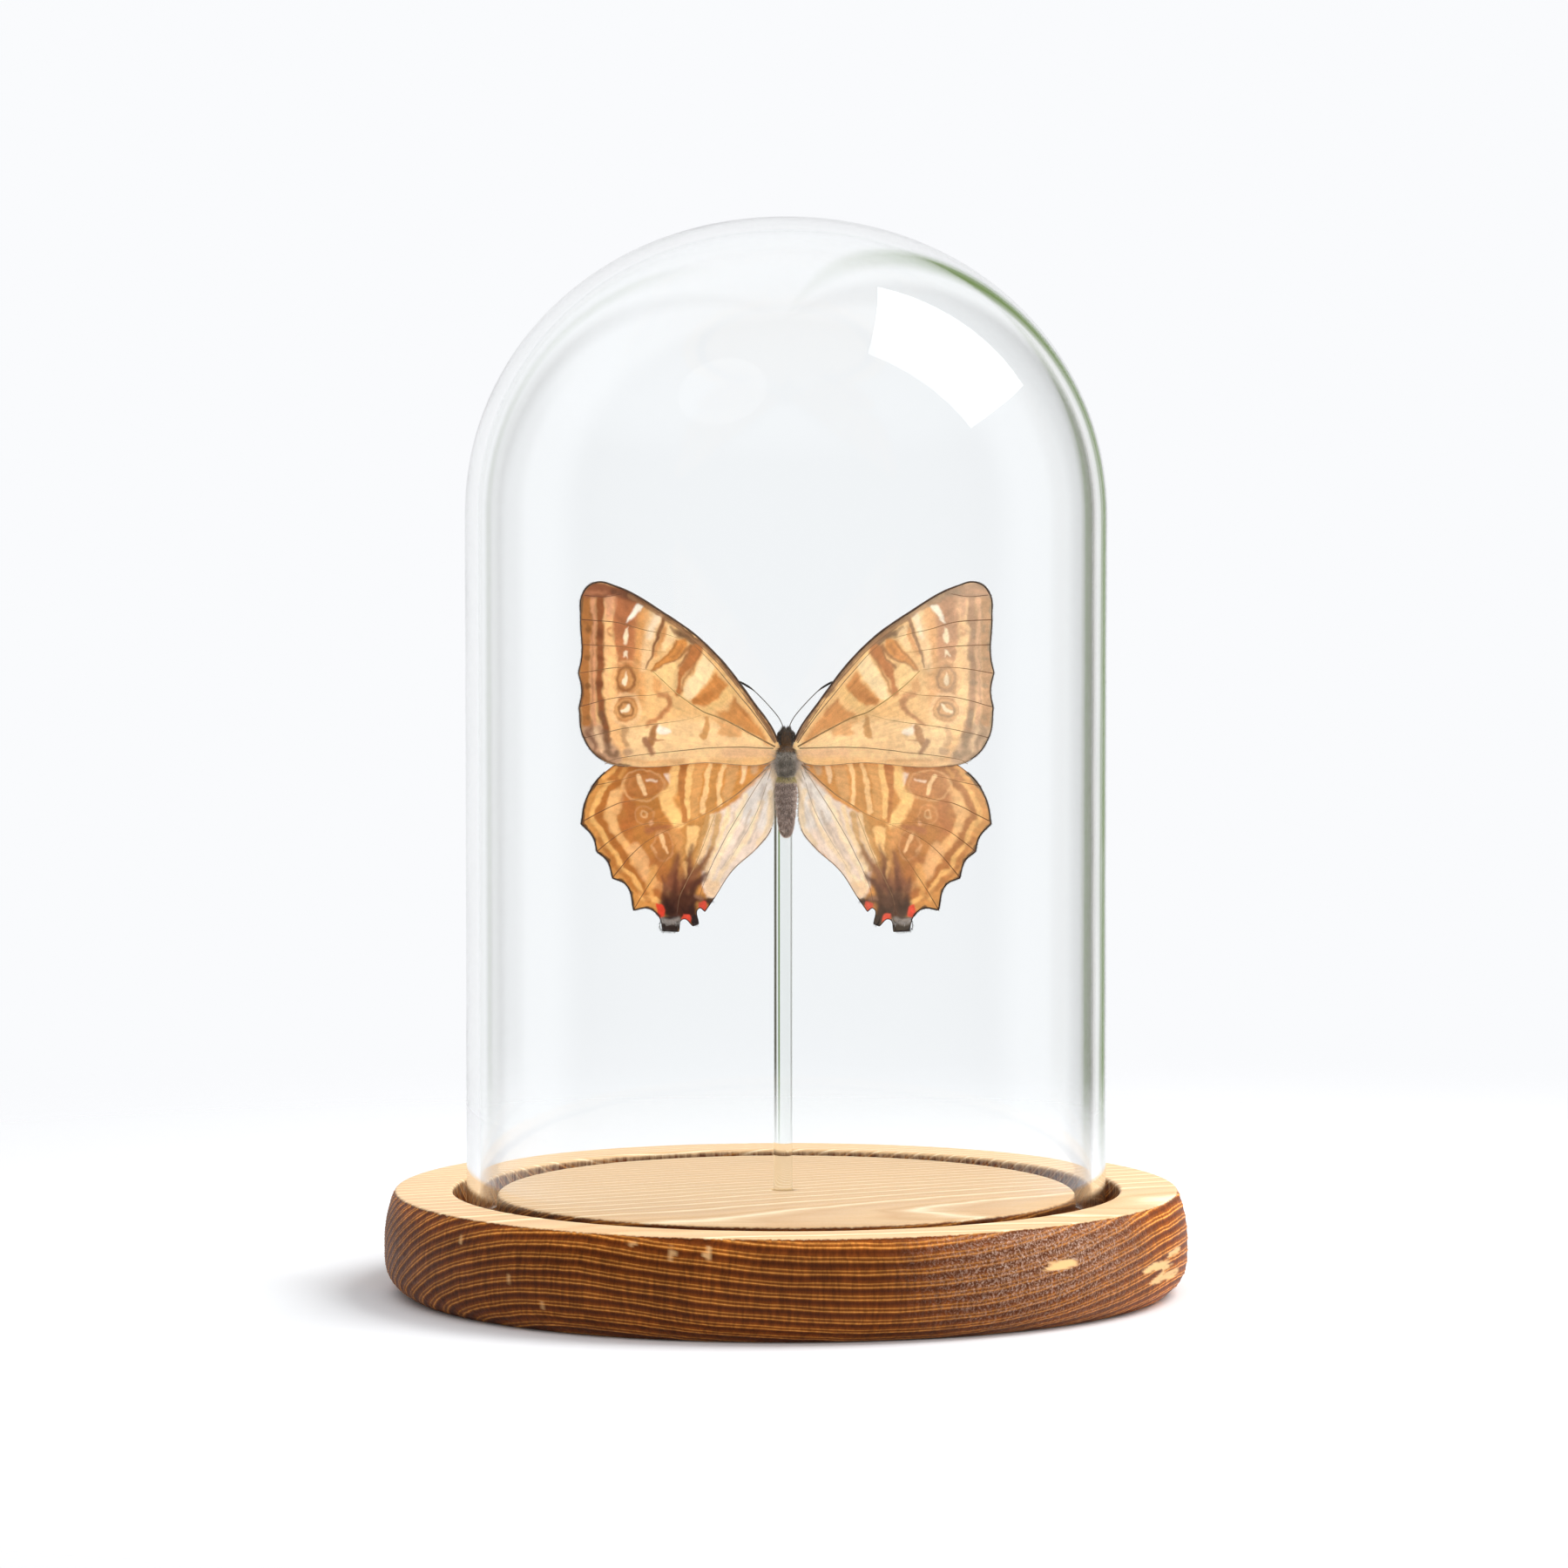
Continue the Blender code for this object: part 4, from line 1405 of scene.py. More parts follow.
HINDWING_MARKS: tuple[Mark, ...] = (
    Mark(PATCH, "#C8843F", "34,-4.5 22,-3.4 22,-12 20,-20 22,-27 27,-27 33,-18 36,-10", edge=2.4),
    Mark(BAND, "#D9984F", "", (-1, 1.5), 0.5),
    Mark(BAND, "#F2BC70", "", (1.45, 2.4), 0.5),
    Mark(BAND, "#BC7433", "", (2.5, 3.7), 0.5),
    Mark(BAND, "#F2BA76", "", (3.8, 5.3), 0.8),
    Mark(BAND, "#C57D3D", "", (5.5, 6.8), 1, 0.8),
    Mark(STROKE, "#B86D2E", "34.6,-17 31.6,-22 28,-26 25.6,-28.4", (0.9, 0.9), 0.5, 0.6),
    Mark(PATCH, "#EFBA7E", "29.6,-19 27.6,-17.6 25.6,-21 25,-24.6 26.4,-24.6", edge=0.9, strength=0.85),
    Mark(PATCH, "#C27A3A", "33.6,-3.9 22.4,-1.2 21.6,-4.4 28.1,-5.4 33,-6.2", edge=0.6),
    Mark(STROKE, "#EDB264", "33.8,-5.8 31.6,-3.6", (1, 0.8), 0.5, 0.9),
    Mark(STROKE, "#E2A458", "30.8,-5.4 29.4,-3", (0.8, 0.6), 0.5, 0.8),
    Mark(STROKE, "#E0A055", "27,-3.6 23.4,-2.6", (0.5, 0.4), 0.4, 0.6),
    Mark(
        PATCH, "#F7C585",
        "31.2,-8 30.2,-9.4 31.6,-13.6 30.8,-15.4 32.6,-15.6 33.2,-11.6 32.4,-8.4",
        edge=0.8, strength=0.7,
    ),
    Mark(STROKE, "#BC6F35", "29.6,-9.4 28.6,-12.6 29.6,-14.8", (2.6, 2.2), 1.6, 0.75),
    Mark(SPOT, "#C47F42", "26.6,-7", (3.5, 2.3), 0.7, 0.9),
    Mark(LOOP, "#B87238", "26.6,-7.1", (3.2, 2.1), 0.4, 0.6, 0.4),
    Mark(LOOP, "#E3B076", "26.6,-7.1", (3.9, 2.8), 0.35, 0.85, 0.3),
    Mark(STROKE, "#CB8A52", "24.6,-5.6 23.4,-6.4 23.2,-8", (1.8, 1.6), 0.7, 0.5),
    Mark(STROKE, "#F9CF98", "27.4,-5.5 26.8,-7 26.1,-8.7", (0.9, 0.7), 0.35),
    # Painted glint: a white streak of highlight on the membrane
    Mark(STROKE, "#F7DFC6", "25.9,-6.3 24,-6.1", (0.5, 0.3), 0.35, 0.8),
    # Painted glint: a white patch of highlight on the membrane
    Mark(PATCH, "#F9E3D2", "22.6,-5 20.2,-4.8 20.4,-6.6 21.2,-8 22,-6.8", edge=0.6, strength=0.8),
    Mark(STROKE, "#FDCD85", "20.4,-2.4 21,-7.4 22.3,-9.6 21.6,-11.6 19.9,-13.8", (1.6, 2.6), 0.9),
    Mark(STROKE, "#FDCD85", "22.6,-9.4 21.8,-11.6", (2.2, 1.4), 0.8, 0.9),
    Mark(SPOT, "#C98443", "26.2,-12.5", (1.5, 1.6), 0.8, 0.8),
    Mark(LOOP, "#DDA268", "26.2,-12.5", (1.7, 1.7), 0.4, 0.7, 0.3),
    Mark(LOOP, "#E4B47C", "26.2,-12.4", (0.55, 0.55), 0.3, 0.9, 0.35),
    Mark(SPOT, "#E6AE7E", "24.9,-14", (0.5, 0.6), 0.4, 0.9),
    Mark(LOOP, "#B4713C", "24.9,-14.2", (1.2, 1), 0.5, 0.5, 0.4),
    Mark(STROKE, "#B26A44", "25.6,-15.6 23.6,-15.2 21.6,-14.8", (1.2, 0.8), 0.9, 0.7),
    Mark(SPOT, "#C27E42", "22.9,-18.4", (2.1, 2.9), 0.9, 0.85),
    Mark(LOOP, "#DBA36C", "22.9,-18.4", (1.9, 2.6), 0.4, 0.6, 0.3),
    Mark(STROKE, "#F6C68E", "23.4,-16.6 22.8,-18 22.1,-19.5", (0.9, 0.5), 0.35),
    Mark(STROKE, "#E9B47C", "24.9,-18.2 24.3,-19.4", (0.4, 0.4), 0.4, 0.7),
    Mark(STROKE, "#B8703A", "24.4,-21.4 22.6,-23.6 23.4,-26.6", (2.2, 2.4), 1.4, 0.6),
    Mark(STROKE, "#E8AC62", "24.6,-22.4 25.4,-25.6 25.2,-27.4", (1.6, 1), 0.8, 0.8),
    Mark(STROKE, "#DDA262", "20.6,-15.6 19.4,-18.4 18.6,-22.4", (2.2, 1.6), 1.2, 0.7),
    Mark(STROKE, "#C88445", "18.8,-2.4 19.2,-4.9 19.3,-7.1 19.2,-10.5 19,-13.8", (1.5, 0.9), 0.45),
    Mark(STROKE, "#BB7439", "18.8,-2 19,-4.4", (1.6, 1.2), 0.5, 0.7),
    Mark(STROKE, "#FBCB84", "17.2,-1.8 17.9,-5.7 18.3,-8.8 18.2,-13", (1.3, 0.9), 0.4),
    Mark(STROKE, "#E3AA66", "15.2,-1.6 16.5,-5.7 16.9,-9.3 17,-12.9", (2, 1.4), 0.5),
    Mark(STROKE, "#FACD90", "13.4,-1.5 14.5,-4.9 15.1,-8.5 15.6,-12.1", (0.8, 1), 0.35),
    Mark(STROKE, "#D29753", "12.7,-1.7 13.6,-5.7 13.9,-9.3 14.2,-11.4", (1.3, 1.5), 0.4),
    Mark(STROKE, "#FACE92", "11.1,-1.4 12,-4.3 12.5,-7.1 12.5,-10.6", (1, 0.8), 0.4),
    Mark(STROKE, "#DEA96B", "9.6,-1.5 10.3,-5.7 11,-9.4", (2.6, 1.6), 0.6),
    Mark(STROKE, "#FBD3A2", "7,-1.5 7.8,-3.9 8.2,-6.4", (1.6, 0.7), 0.5),
    Mark(STROKE, "#D9AE80", "5.2,-1.5 5.9,-4.6", (1.6, 1.2), 0.8),
    Mark(PATCH, "#CF9552", "18.6,-14.9 14,-12.6 13.8,-17 16.2,-22.6 18.4,-25 19.4,-20", edge=0.9),
    Mark(PATCH, "#FBCC88", "18.4,-14.9 16.2,-15 16.6,-17.7 18.3,-20.5 18.5,-17.5", edge=0.5),
    Mark(
        PATCH, "#EED9C8",
        "13.4,-12.4 7,-8.6 2.6,-4.2 2.2,-15 5,-18.6 10,-23.4 13.6,-28.4 15.6,-26 " "15.6,-20", edge=0.8,
    ),
    Mark(PATCH, "#E6DCD3", "8.4,-9.2 3,-5 2.4,-13.6 4.6,-15.6 8.4,-13.6", edge=1.6, strength=0.9),
    Mark(STROKE, "#D7A566", "14.6,-13.2 15.6,-17.4 16.8,-22.2", (1.2, 1), 0.6, 0.9),
    Mark(STROKE, "#F9D6A6", "13.8,-12.7 14.5,-16.6 16.2,-21.1", (0.9, 1), 0.5),
    Mark(STROKE, "#D9AE76", "12.6,-12.8 13.6,-17.6 15.6,-22.6", (1.4, 0.9), 0.7, 0.95),
    Mark(STROKE, "#FBDDB2", "10.6,-11.4 12,-16 14,-20.6 15,-23.6", (1, 0.8), 0.6),
    Mark(STROKE, "#CDB49B", "9.4,-12.4 11,-16.9 13.2,-21.6", (0.9, 0.6), 0.7, 0.85),
    Mark(STROKE, "#FBE3C2", "7.6,-9.4 9.2,-13.4 11.8,-19 14.4,-24.4", (1.2, 1), 0.7),
    Mark(STROKE, "#C7B3A0", "6.6,-12.2 8.6,-17 12,-22.4", (0.5, 0.4), 0.5, 0.7),
    Mark(STROKE, "#F9DFBD", "4.6,-10.4 6.6,-15.6 10.2,-20.8 13.2,-25.4", (0.9, 1), 0.7),
    Mark(STROKE, "#BFAEA2", "4.4,-7 4.9,-12.6 7.2,-18", (0.5, 0.4), 0.6, 0.6),
    Mark(STROKE, "#E9CFA6", "3.2,-8.4 3.2,-14.6 5.4,-18.2", (1, 0.8), 0.6, 0.7),
    Mark(STROKE, "#DCC7AC", "2.1,-2.6 1.7,-6 1.7,-10 2.2,-14.5", (2.2, 1.6), 0.6, 0.95),
    Mark(PATCH, "#F3D0A6", "15.4,-24.4 12.4,-25.2 13.2,-27.6 14.8,-27.8", edge=0.9, strength=0.8),
    Mark(STROKE, "#8F5A3E", "18.4,-25.6 16.6,-22.8 14.9,-20.6 13.9,-18.9", (2.8, 0.5), 1.6, 0.9),
    Mark(STROKE, "#8A5138", "21.2,-26 20.6,-22.9 20.2,-19.9", (3, 0.7), 1.6, 0.9),
    Mark(STROKE, "#8C5639", "18.9,-25.8 18.3,-22 17.4,-18.2", (2.4, 0.4), 1.2, 0.85),
    Mark(STROKE, "#F2BE7A", "18.9,-21.6 18.7,-24.2", (0.8, 0.3), 0.6, 0.7),
    Mark(STROKE, "#6B3A28", "17.6,-25.8 15.6,-24.6 14.8,-23.4", (1.8, 0.6), 1.2, 0.8),
    Mark(STROKE, "#7A4630", "22.2,-28.4 22.6,-26 23,-24.2", (1.6, 0.3), 0.9, 0.8),
    Mark(STROKE, "#6B3A28", "20.9,-28 20.5,-25.2 20.2,-23", (2, 0.3), 0.9, 0.85),
    Mark(STROKE, "#6F3E2A", "19.4,-28 18.6,-25 18,-22.4", (1.8, 0.3), 0.8, 0.85),
    Mark(STROKE, "#63382A", "18.2,-28.4 16.8,-25.8 15.2,-23.6", (1.8, 0.3), 0.9, 0.85),
    Mark(
        PATCH, "#56301F",
        "23.4,-28.8 22.6,-27.4 21.7,-27.9 20.9,-26.2 20.2,-27.2 19.3,-25.9 18.3,-27.3 17.2,-26.4 "
        "16.4,-27.6 14.4,-28.3 14.6,-29.4 16.4,-29.2 17,-31.6 20.6,-32.2 22.4,-31.6",
        edge=1.5,
    ),
    Mark(
        PATCH, "#371C14",
        "23.2,-29.6 22.2,-28.4 21.4,-29.3 20.6,-28.6 20.9,-31.3 22.2,-31.4",
        edge=1.2, strength=0.8,
    ),
    Mark(PATCH, "#371C15", "19.8,-29.6 18.6,-30 17.4,-29.3 16.8,-31 19.4,-31.4", edge=1.1, strength=0.8),
    Mark(STROKE, "#A1745A", "16.6,-27.9 15.6,-28.4", (0.8, 0.6), 0.6, 0.7),
    Mark(PATCH, "#E2472F", "24,-29 22.9,-29.3 22.4,-30.9 23.1,-31.8 23.9,-31.2", edge=0.3),
    Mark(PATCH, "#E2523B", "19.4,-31 18,-31.1 17.7,-32.3 18.3,-33.2 19.3,-32.4", edge=0.3),
    Mark(PATCH, "#D5503C", "16.2,-29.1 14.7,-28.7 15,-30 16.1,-30.6", edge=0.3),
    Mark(PATCH, "#362823", "23.5,-31.7 19.7,-31.7 19.9,-34.1 20.8,-34.9 22.8,-34.8 23.5,-33.1", edge=0.4),
    Mark(STROKE, "#A79B93", "23,-32.2 21.6,-32.6 20.2,-32", (0.9, 0.8), 0.7, 0.8),
    Mark(PATCH, "#33221E", "17.8,-31.4 16.6,-31 16,-33.4 17.4,-33.6", edge=0.4),
    Mark(PATCH, "#4A342B", "14.6,-28.3 13.2,-28.2 13.6,-29.6 14.6,-29.2", edge=0.3, strength=0.9),
    Mark(BAND, "#5E3A22", "", (-1, 0.3), 0.25, 0.9),
)


# --- Wings


class Side(Enum):
    """Which side of the body, as the viewer sees it. The value is the sign of X."""

    LEFT = -1
    RIGHT = 1

    @property
    def word(self) -> str:
        """The side's name in lower case."""
        return self.name.lower()


@dataclass(frozen=True)
class Vein:
    """A raised tube on a wing, from root radius to tip radius and root colour to tip colour."""

    route: str
    radius: Point2
    colours: tuple[str, str]


FOREWING_VEINS: tuple[Vein, ...] = (
    Vein("30.4,28.5 33.7,28 37.3,28.3", (0.07, 0.08), ("#7A4A33", "#5A3624")),
    Vein("19.6,20.1 22.5,21 27,22 31.5,23.3 37.9,23.8", (0.06, 0.1), ("#A67E4C", "#6B4229")),
    Vein("20.6,17.9 23.1,17.7 30.1,18.7 37.8,19.2", (0.05, 0.09), ("#B98C54", "#74482C")),
    Vein("24.7,14.3 29.2,14.9 32.9,14.7 38.2,13.9", (0.06, 0.09), ("#B98C54", "#70452A")),
    Vein("21,10.5 24.8,9.8 31.5,9.3 38.1,7.7", (0.06, 0.09), ("#B98C54", "#704830")),
    Vein("15,6.2 18.5,5.2 22.5,4.6 30.6,3.5 37.5,1.9", (0.06, 0.08), ("#B59460", "#6E4C35")),
    Vein("2.1,0 11,4.9 15.8,6.9 20.8,10.5 24.8,14.2", (0.17, 0.08), ("#8B6A44", "#BC9A5C")),
    Vein("24.8,14.2 24.3,15.4 22.6,17.2 20.6,18.9", (0.05, 0.05), ("#B8803F", "#A0703E")),
    Vein("2.4,-0.3 11.9,0 20.3,-0.7 30.9,-1.9 33.6,-3", (0.12, 0.06), ("#8A7048", "#8C6848")),
    Vein(
        "2.1,0.7 5.4,5.5 9.1,10 12.7,14.4 16.1,18 19.7,21.1 23.1,24", (0.11, 0.05), ("#7A5A42", "#94704E"),
    ),
    Vein(
        "1.9,0.9 6.1,7.2 10.4,12.9 14.6,17.5 18.6,20.9 22.6,23.8 27.4,26.6", (0.1, 0.05),
        ("#8E6C4E", "#8A6448"),
    ),
    Vein("19.7,21 22,21.8 24,23.6", (0.05, 0.04), ("#A9805A", "#B08A62")),
)

HINDWING_VEINS: tuple[Vein, ...] = (
    Vein("11.9,-4.4 21.4,-4.4 28.1,-5.4 32,-6.3 36.2,-7.1", (0.05, 0.08), ("#C9935C", "#6E4322")),
    Vein("18,-6.8 22,-8.2 25.9,-9.3 29.2,-10 32,-10.7 37.7,-13.6", (0.05, 0.1), ("#C58D55", "#6A3C1E")),
    Vein("18.9,-14.4 24.5,-14 29.5,-15.2 32.3,-17 35.1,-19.2", (0.06, 0.1), ("#B9824C", "#6A3C1E")),
    Vein(
        "18.9,-14.3 21.4,-15.2 24.5,-16.6 27,-18.3 29.5,-20.8 32.2,-24.1", (0.06, 0.1),
        ("#B9824C", "#6A3C1E"),
    ),
    Vein("18.7,-14.6 20.6,-18.3 23.1,-21.9 25.9,-26.1 28.3,-30.1", (0.05, 0.09), ("#C08A52", "#5F3519")),
    Vein("2.9,-3.3 7.7,-7.7 11.9,-10.6 14.7,-12.3 18.9,-14.2", (0.16, 0.07), ("#8F6A48", "#BE8E58")),
    Vein("13.3,-12.7 16.1,-20 18.6,-25.3 19.8,-28 20.4,-31.5", (0.08, 0.07), ("#C9A06C", "#5A3A30")),
    Vein("2.9,-3.4 8.4,-12 12.6,-19.4 15.4,-25.6 16.3,-29.6", (0.1, 0.06), ("#B9A288", "#6B4A3C")),
    Vein("2.7,-3.8 5.4,-12 8.6,-18 12,-23.6 13.8,-27", (0.08, 0.05), ("#AE9C88", "#8C7460")),
)


@dataclass(frozen=True)
class Coat:
    """Hair of one kind: its finish, hairs on each square millimetre, and sizes in millimetres."""

    finish: InsectHair
    density: float
    length: float
    thickness: float = 0.034
    spread: float = 0.4
    bend: float = 3.0

    def grow(self, name: str, host: Mesh, seed: int, slot: str, note: str) -> None:
        """Grows the hair on a host mesh and shows it."""
        hair = Bristles().grow(
            name, host, self.finish, Density=self.density * 1e6, Length=self.length * MM,
            Thickness=self.thickness * MM, Spread=self.spread, Bend=self.bend, Sides=3, Seed=seed,
        )
        show(hair, (), note)


@dataclass
class Wing:
    """One wing: a thin closed membrane with its scale pattern, raised veins, and hair along its margins."""

    name: str
    side: Side
    offset: float  # how far behind the body's middle the wing's plane stands
    outline: tuple[tuple[bool, float, float], ...]  # sharp corner or not, out, up
    marks: tuple[Mark, ...]
    veins: tuple[Vein, ...]
    ground: str
    outer: tuple[int, int]  # outline points that the outer margin runs between
    rim: tuple[tuple[int, int, float, str], ...]  # stretches of edge: first and last point, radius, colour
    seed: int
    painted_sheen: float = 0.0  # painted sheen: how far the wing is paled towards white as a glossy highlight, most near the outer margin and the top
    pleats: float = 0.0
    lift: float = math.radians(5.0)
    step: float = 0.2
    half_thickness: float = 0.055
    corner_steps: int = 14
    above: float = 0.45  # how far above the body's wing joint the wings sit

    def edge_points(self) -> Array:
        """The outline as a closed run of points, rounded where it isn't sharp."""
        curve = bpy.data.curves.new("edge", "CURVE")
        spline = curve.splines.new("BEZIER")
        spline.bezier_points.add(len(self.outline) - 1)
        spline.use_cyclic_u = True
        for point, (sharp, out, up) in zip(spline.bezier_points, self.outline):
            point.co = (out, up, 0.0)
            point.handle_left_type = point.handle_right_type = "VECTOR" if sharp else "AUTO"
        knots = spline.bezier_points
        rows = []
        for i, knot in enumerate(knots):
            after = knots[(i + 1) % len(knots)]
            run = geometry.interpolate_bezier(
                knot.co, knot.handle_right, after.handle_left, after.co, self.corner_steps + 1,
            )
            rows += [(p.x, p.y) for p in run[:-1]]
        bpy.data.curves.remove(curve)
        return np.array(rows)

    def stretch(self, edge: Array, first: int, last: int) -> Array:
        """The part of the outline between two of its given points."""
        stop = last * self.corner_steps + 1
        return np.vstack((edge, edge[:1]))[first * self.corner_steps : stop]

    def rise(self, places: Array) -> Array:
        """How far the wing stands towards the viewer at each place: a slight curl and dry pleats."""
        out, up = places[:, 0], places[:, 1]
        curl = 0.3 * (out / 38) ** 2 + 0.1 * value_noise(places, 9.0, self.seed)
        turn = np.arctan2(-up, out + 1.0)
        inner = smoothstep(0.75, 1.0, turn) * smoothstep(2.0, 8.0, np.hypot(out, up))
        return curl + self.pleats * inner * np.sin(turn * 34.0)

    def to_space(self, places: Array, raised: Array | float = 0.0) -> Array:
        """Puts places on the wing into the object's frame.

        Args:
            places: Out and up as rows.
            raised: How far each stands off the wing's surface, towards the viewer.

        Returns:
            Points in the object's frame, in millimetres.
        """
        sign = self.side.value
        along = np.array((sign * math.cos(self.lift), -math.sin(self.lift), 0.0))
        normal = np.array((-sign * math.sin(self.lift), -math.cos(self.lift), 0.0))
        root = BODY_CENTRE + np.array((0.0, self.offset, self.above))
        height = self.rise(places) + raised
        upward = np.array((0.0, 0.0, 1.0))
        return root + places[:, :1] * along + places[:, 1:] * upward + height[:, None] * normal

    def lattice(self, edge: Array) -> tuple[Array, list[tuple[int, int, int]]]:
        """Fine even triangles inside the outline."""
        low, high = edge.min(0), edge.max(0)
        rows = np.arange(low[1], high[1], self.step * 0.866)
        columns = np.arange(low[0], high[0], self.step)
        x, y = np.meshgrid(columns, rows)
        x = x + (np.arange(len(rows)) % 2)[:, None] * self.step / 2
        grid = np.column_stack((x.ravel(), y.ravel()))
        grid = grid[inside(grid, edge)]
        gap, _ = path_distance(grid, np.vstack((edge, edge[:1])))
        grid = grid[gap > 0.5 * self.step]
        fence = [(i, (i + 1) % len(edge)) for i in range(len(edge))]
        found = geometry.delaunay_2d_cdt([Vector(p) for p in np.vstack((edge, grid))], fence, [], 1, 1e-5)
        return np.array([tuple(p) for p in found[0]]), [tuple(face) for face in found[2]]

    def pattern(self, places: Array, edge: Array) -> Array:
        """Linear colour of the scales at each place, with painted glints among the marks and a painted sheen on the
        right wings.

        Args:
            places: Out and up as rows.
            edge: The wing's outline.

        Returns:
            Colours as rows.
        """
        warp = np.column_stack(
            [
                0.26 * value_noise(places, 1.7, self.seed + 1 + k) + 0.14 * value_noise(
                    places, 0.55, self.seed + 3 + k,
                )
                for k in range(2)
            ],
        )
        points = places + warp
        margin, _ = path_distance(points, self.stretch(edge, *self.outer))
        beyond = ~inside(points, edge)
        margin = np.where(beyond, -margin, margin)
        colour = np.tile(linear(self.ground), (len(points), 1))
        for mark in self.marks:
            cover = (mark.cover(points, margin) * mark.strength)[:, None]
            colour = colour * (1 - cover) + np.array(linear(mark.colour)) * cover
        # Painted sheen: the wing is paled towards white a little all over, and most towards the outer margin and
        # the top, where a glossy highlight lies.
        wear_and_sheen = self.painted_sheen * (
            0.2 + 0.8 * smoothstep(16.0, 34.0, places[:, 0]) * smoothstep(-30.0, 12.0, places[:, 1])
        )
        colour = colour + (np.array(linear("#FBE9C8")) - colour) * wear_and_sheen[:, None]
        polar = np.column_stack(
            (np.arctan2(places[:, 1] + 2.0, places[:, 0]) * 60, np.hypot(*places.T) / 3.5),
        )
        grain = 1 + 0.11 * layered_noise(polar, 1.0, self.seed + 7) + 0.12 * layered_noise(
            places, 0.8, self.seed + 11,
        )
        grain += 0.1 * layered_noise(places, 5.0, self.seed + 13)
        return np.clip(colour * (1.06 * grain)[:, None], 0.0, 1.0)

    def membrane(self, edge: Array) -> Skin:
        """The closed two-faced membrane with its pattern."""
        places, faces = self.lattice(edge)
        colour = self.pattern(places, edge)
        gap, _ = path_distance(places, np.vstack((edge, edge[:1])))
        half = self.half_thickness * (0.45 + 0.55 * smoothstep(0.0, 0.5, gap))
        count = len(places)
        points = np.vstack((self.to_space(places, half), self.to_space(places, -half)))
        if self.side is Side.LEFT:
            faces = [face[::-1] for face in faces]
        used: dict[tuple[int, int], int] = {}
        for face in faces:
            for a, b in zip(face, face[1:] + face[:1]):
                used[(a, b)] = used.get((a, b), 0) + 1
        border = [(a, b) for a, b in used if (b, a) not in used]
        shell = faces + [tuple(i + count for i in face[::-1]) for face in faces]
        shell += [(b, a, a + count, b + count) for a, b in border]
        bare = np.clip(layered_noise(places, 4.0, self.seed + 21) * 1.5 - 0.3, 0, 1)
        return Skin(points, shell, {"wing_colour": np.vstack((colour, colour)), "bare": np.tile(bare, 2)})

    def tube_paths(self, edge: Array) -> list[tuple[Array, Array, Array]]:
        """Routes, radii and colours of the veins and of the stiff edge."""
        paths = []
        for vein in self.veins:
            route = smooth_path(read_places(vein.route), 8)
            share = np.linspace(0.0, 1.0, len(route))[:, None]
            wander = 0.06 * np.column_stack([value_noise(route, 2.5, self.seed + 31 + k) for k in range(2)])
            radius = vein.radius[0] + (vein.radius[1] - vein.radius[0]) * share[:, 0]
            ends = [np.array(linear(colour)) for colour in vein.colours]
            paths.append((self.to_space(route + wander), radius, ends[0] + (ends[1] - ends[0]) * share))
        for first, last, radius, colour in self.rim:
            route = self.stretch(edge, first, last)
            uneven = 1 + 0.15 * value_noise(route, 1.2, self.seed + 41)
            paths.append((self.to_space(route), radius * uneven, np.tile(linear(colour), (len(route), 1))))
        return paths

    def strip(self, route: Array, lean: Array, size: Array | float = 1.0) -> Mesh:
        """A narrow strip along a route on the wing for hair to grow from.

        Args:
            route: Places on the wing as rows.
            lean: Which way the hair leans at each, as out, up and towards the viewer.
            size: Length of the hair at each, as a share.

        Returns:
            The strip's mesh, with the values that Bristles reads.
        """
        count = len(route)
        points = np.vstack((self.to_space(route, 0.05), self.to_space(route, -0.05)))
        sign = self.side.value
        world = np.column_stack((sign * lean[:, 0], -lean[:, 2] - 0.087 * lean[:, 0], lean[:, 1]))
        faces = [(i, i + 1, i + 1 + count, i + count) for i in range(count - 1)]
        sizes = np.broadcast_to(np.asarray(size, float), (count,))
        values = {
            "lean": np.vstack((world, world)), "size": np.tile(sizes, 2), "shade": np.full(2 * count, 0.5),
        }
        return Skin(points, faces, values).mesh("strip")

    def outward(self, route: Array) -> Array:
        """Unit direction away from the wing at each point of a stretch of its outline."""
        way = np.gradient(route, axis=0)
        away = np.column_stack((way[:, 1], -way[:, 0])) / np.linalg.norm(way, axis=1)[:, None]
        middle = np.array((19.0, 12.0)) if self.offset < 0 else np.array((18.0, -14.0))
        turned_in = np.sum(away * (route - middle), axis=1).mean() < 0
        return np.column_stack((-away if turned_in else away, np.zeros(len(route))))

    def dress(self) -> None:
        """Makes the membrane and its veins and shows them in place of the CAD node."""
        edge = self.edge_points()
        show_skin(
            f"{self.name}_membrane", self.membrane(edge), WingScales("butterfly_scales"),
            (self.name,), "Scaled membrane",
        )
        routes = path_mesh(f"{self.name}_routes", self.tube_paths(edge))
        veins = Tubes().grow(f"{self.name}_veins", routes, WingVein("wing_vein"), Sides=8)
        show(veins, (), "Raised veins and edge")
        self.dress_hair(edge)

    def dress_hair(self, edge: Array) -> None:
        """Grows the hair along the wing's margins."""
        fringe_route = self.stretch(edge, *self.outer)
        finish = InsectHair("margin_fringe", "#2B1D16", "#4A3222", "#8A6844")
        Coat(finish, 260.0, 0.3, 0.035, 0.25, 1.0).grow(
            f"{self.name}_fringe", self.strip(fringe_route, self.outward(fringe_route)), self.seed,
            "wing_scales", "Short fringe on the outer margin",
        )


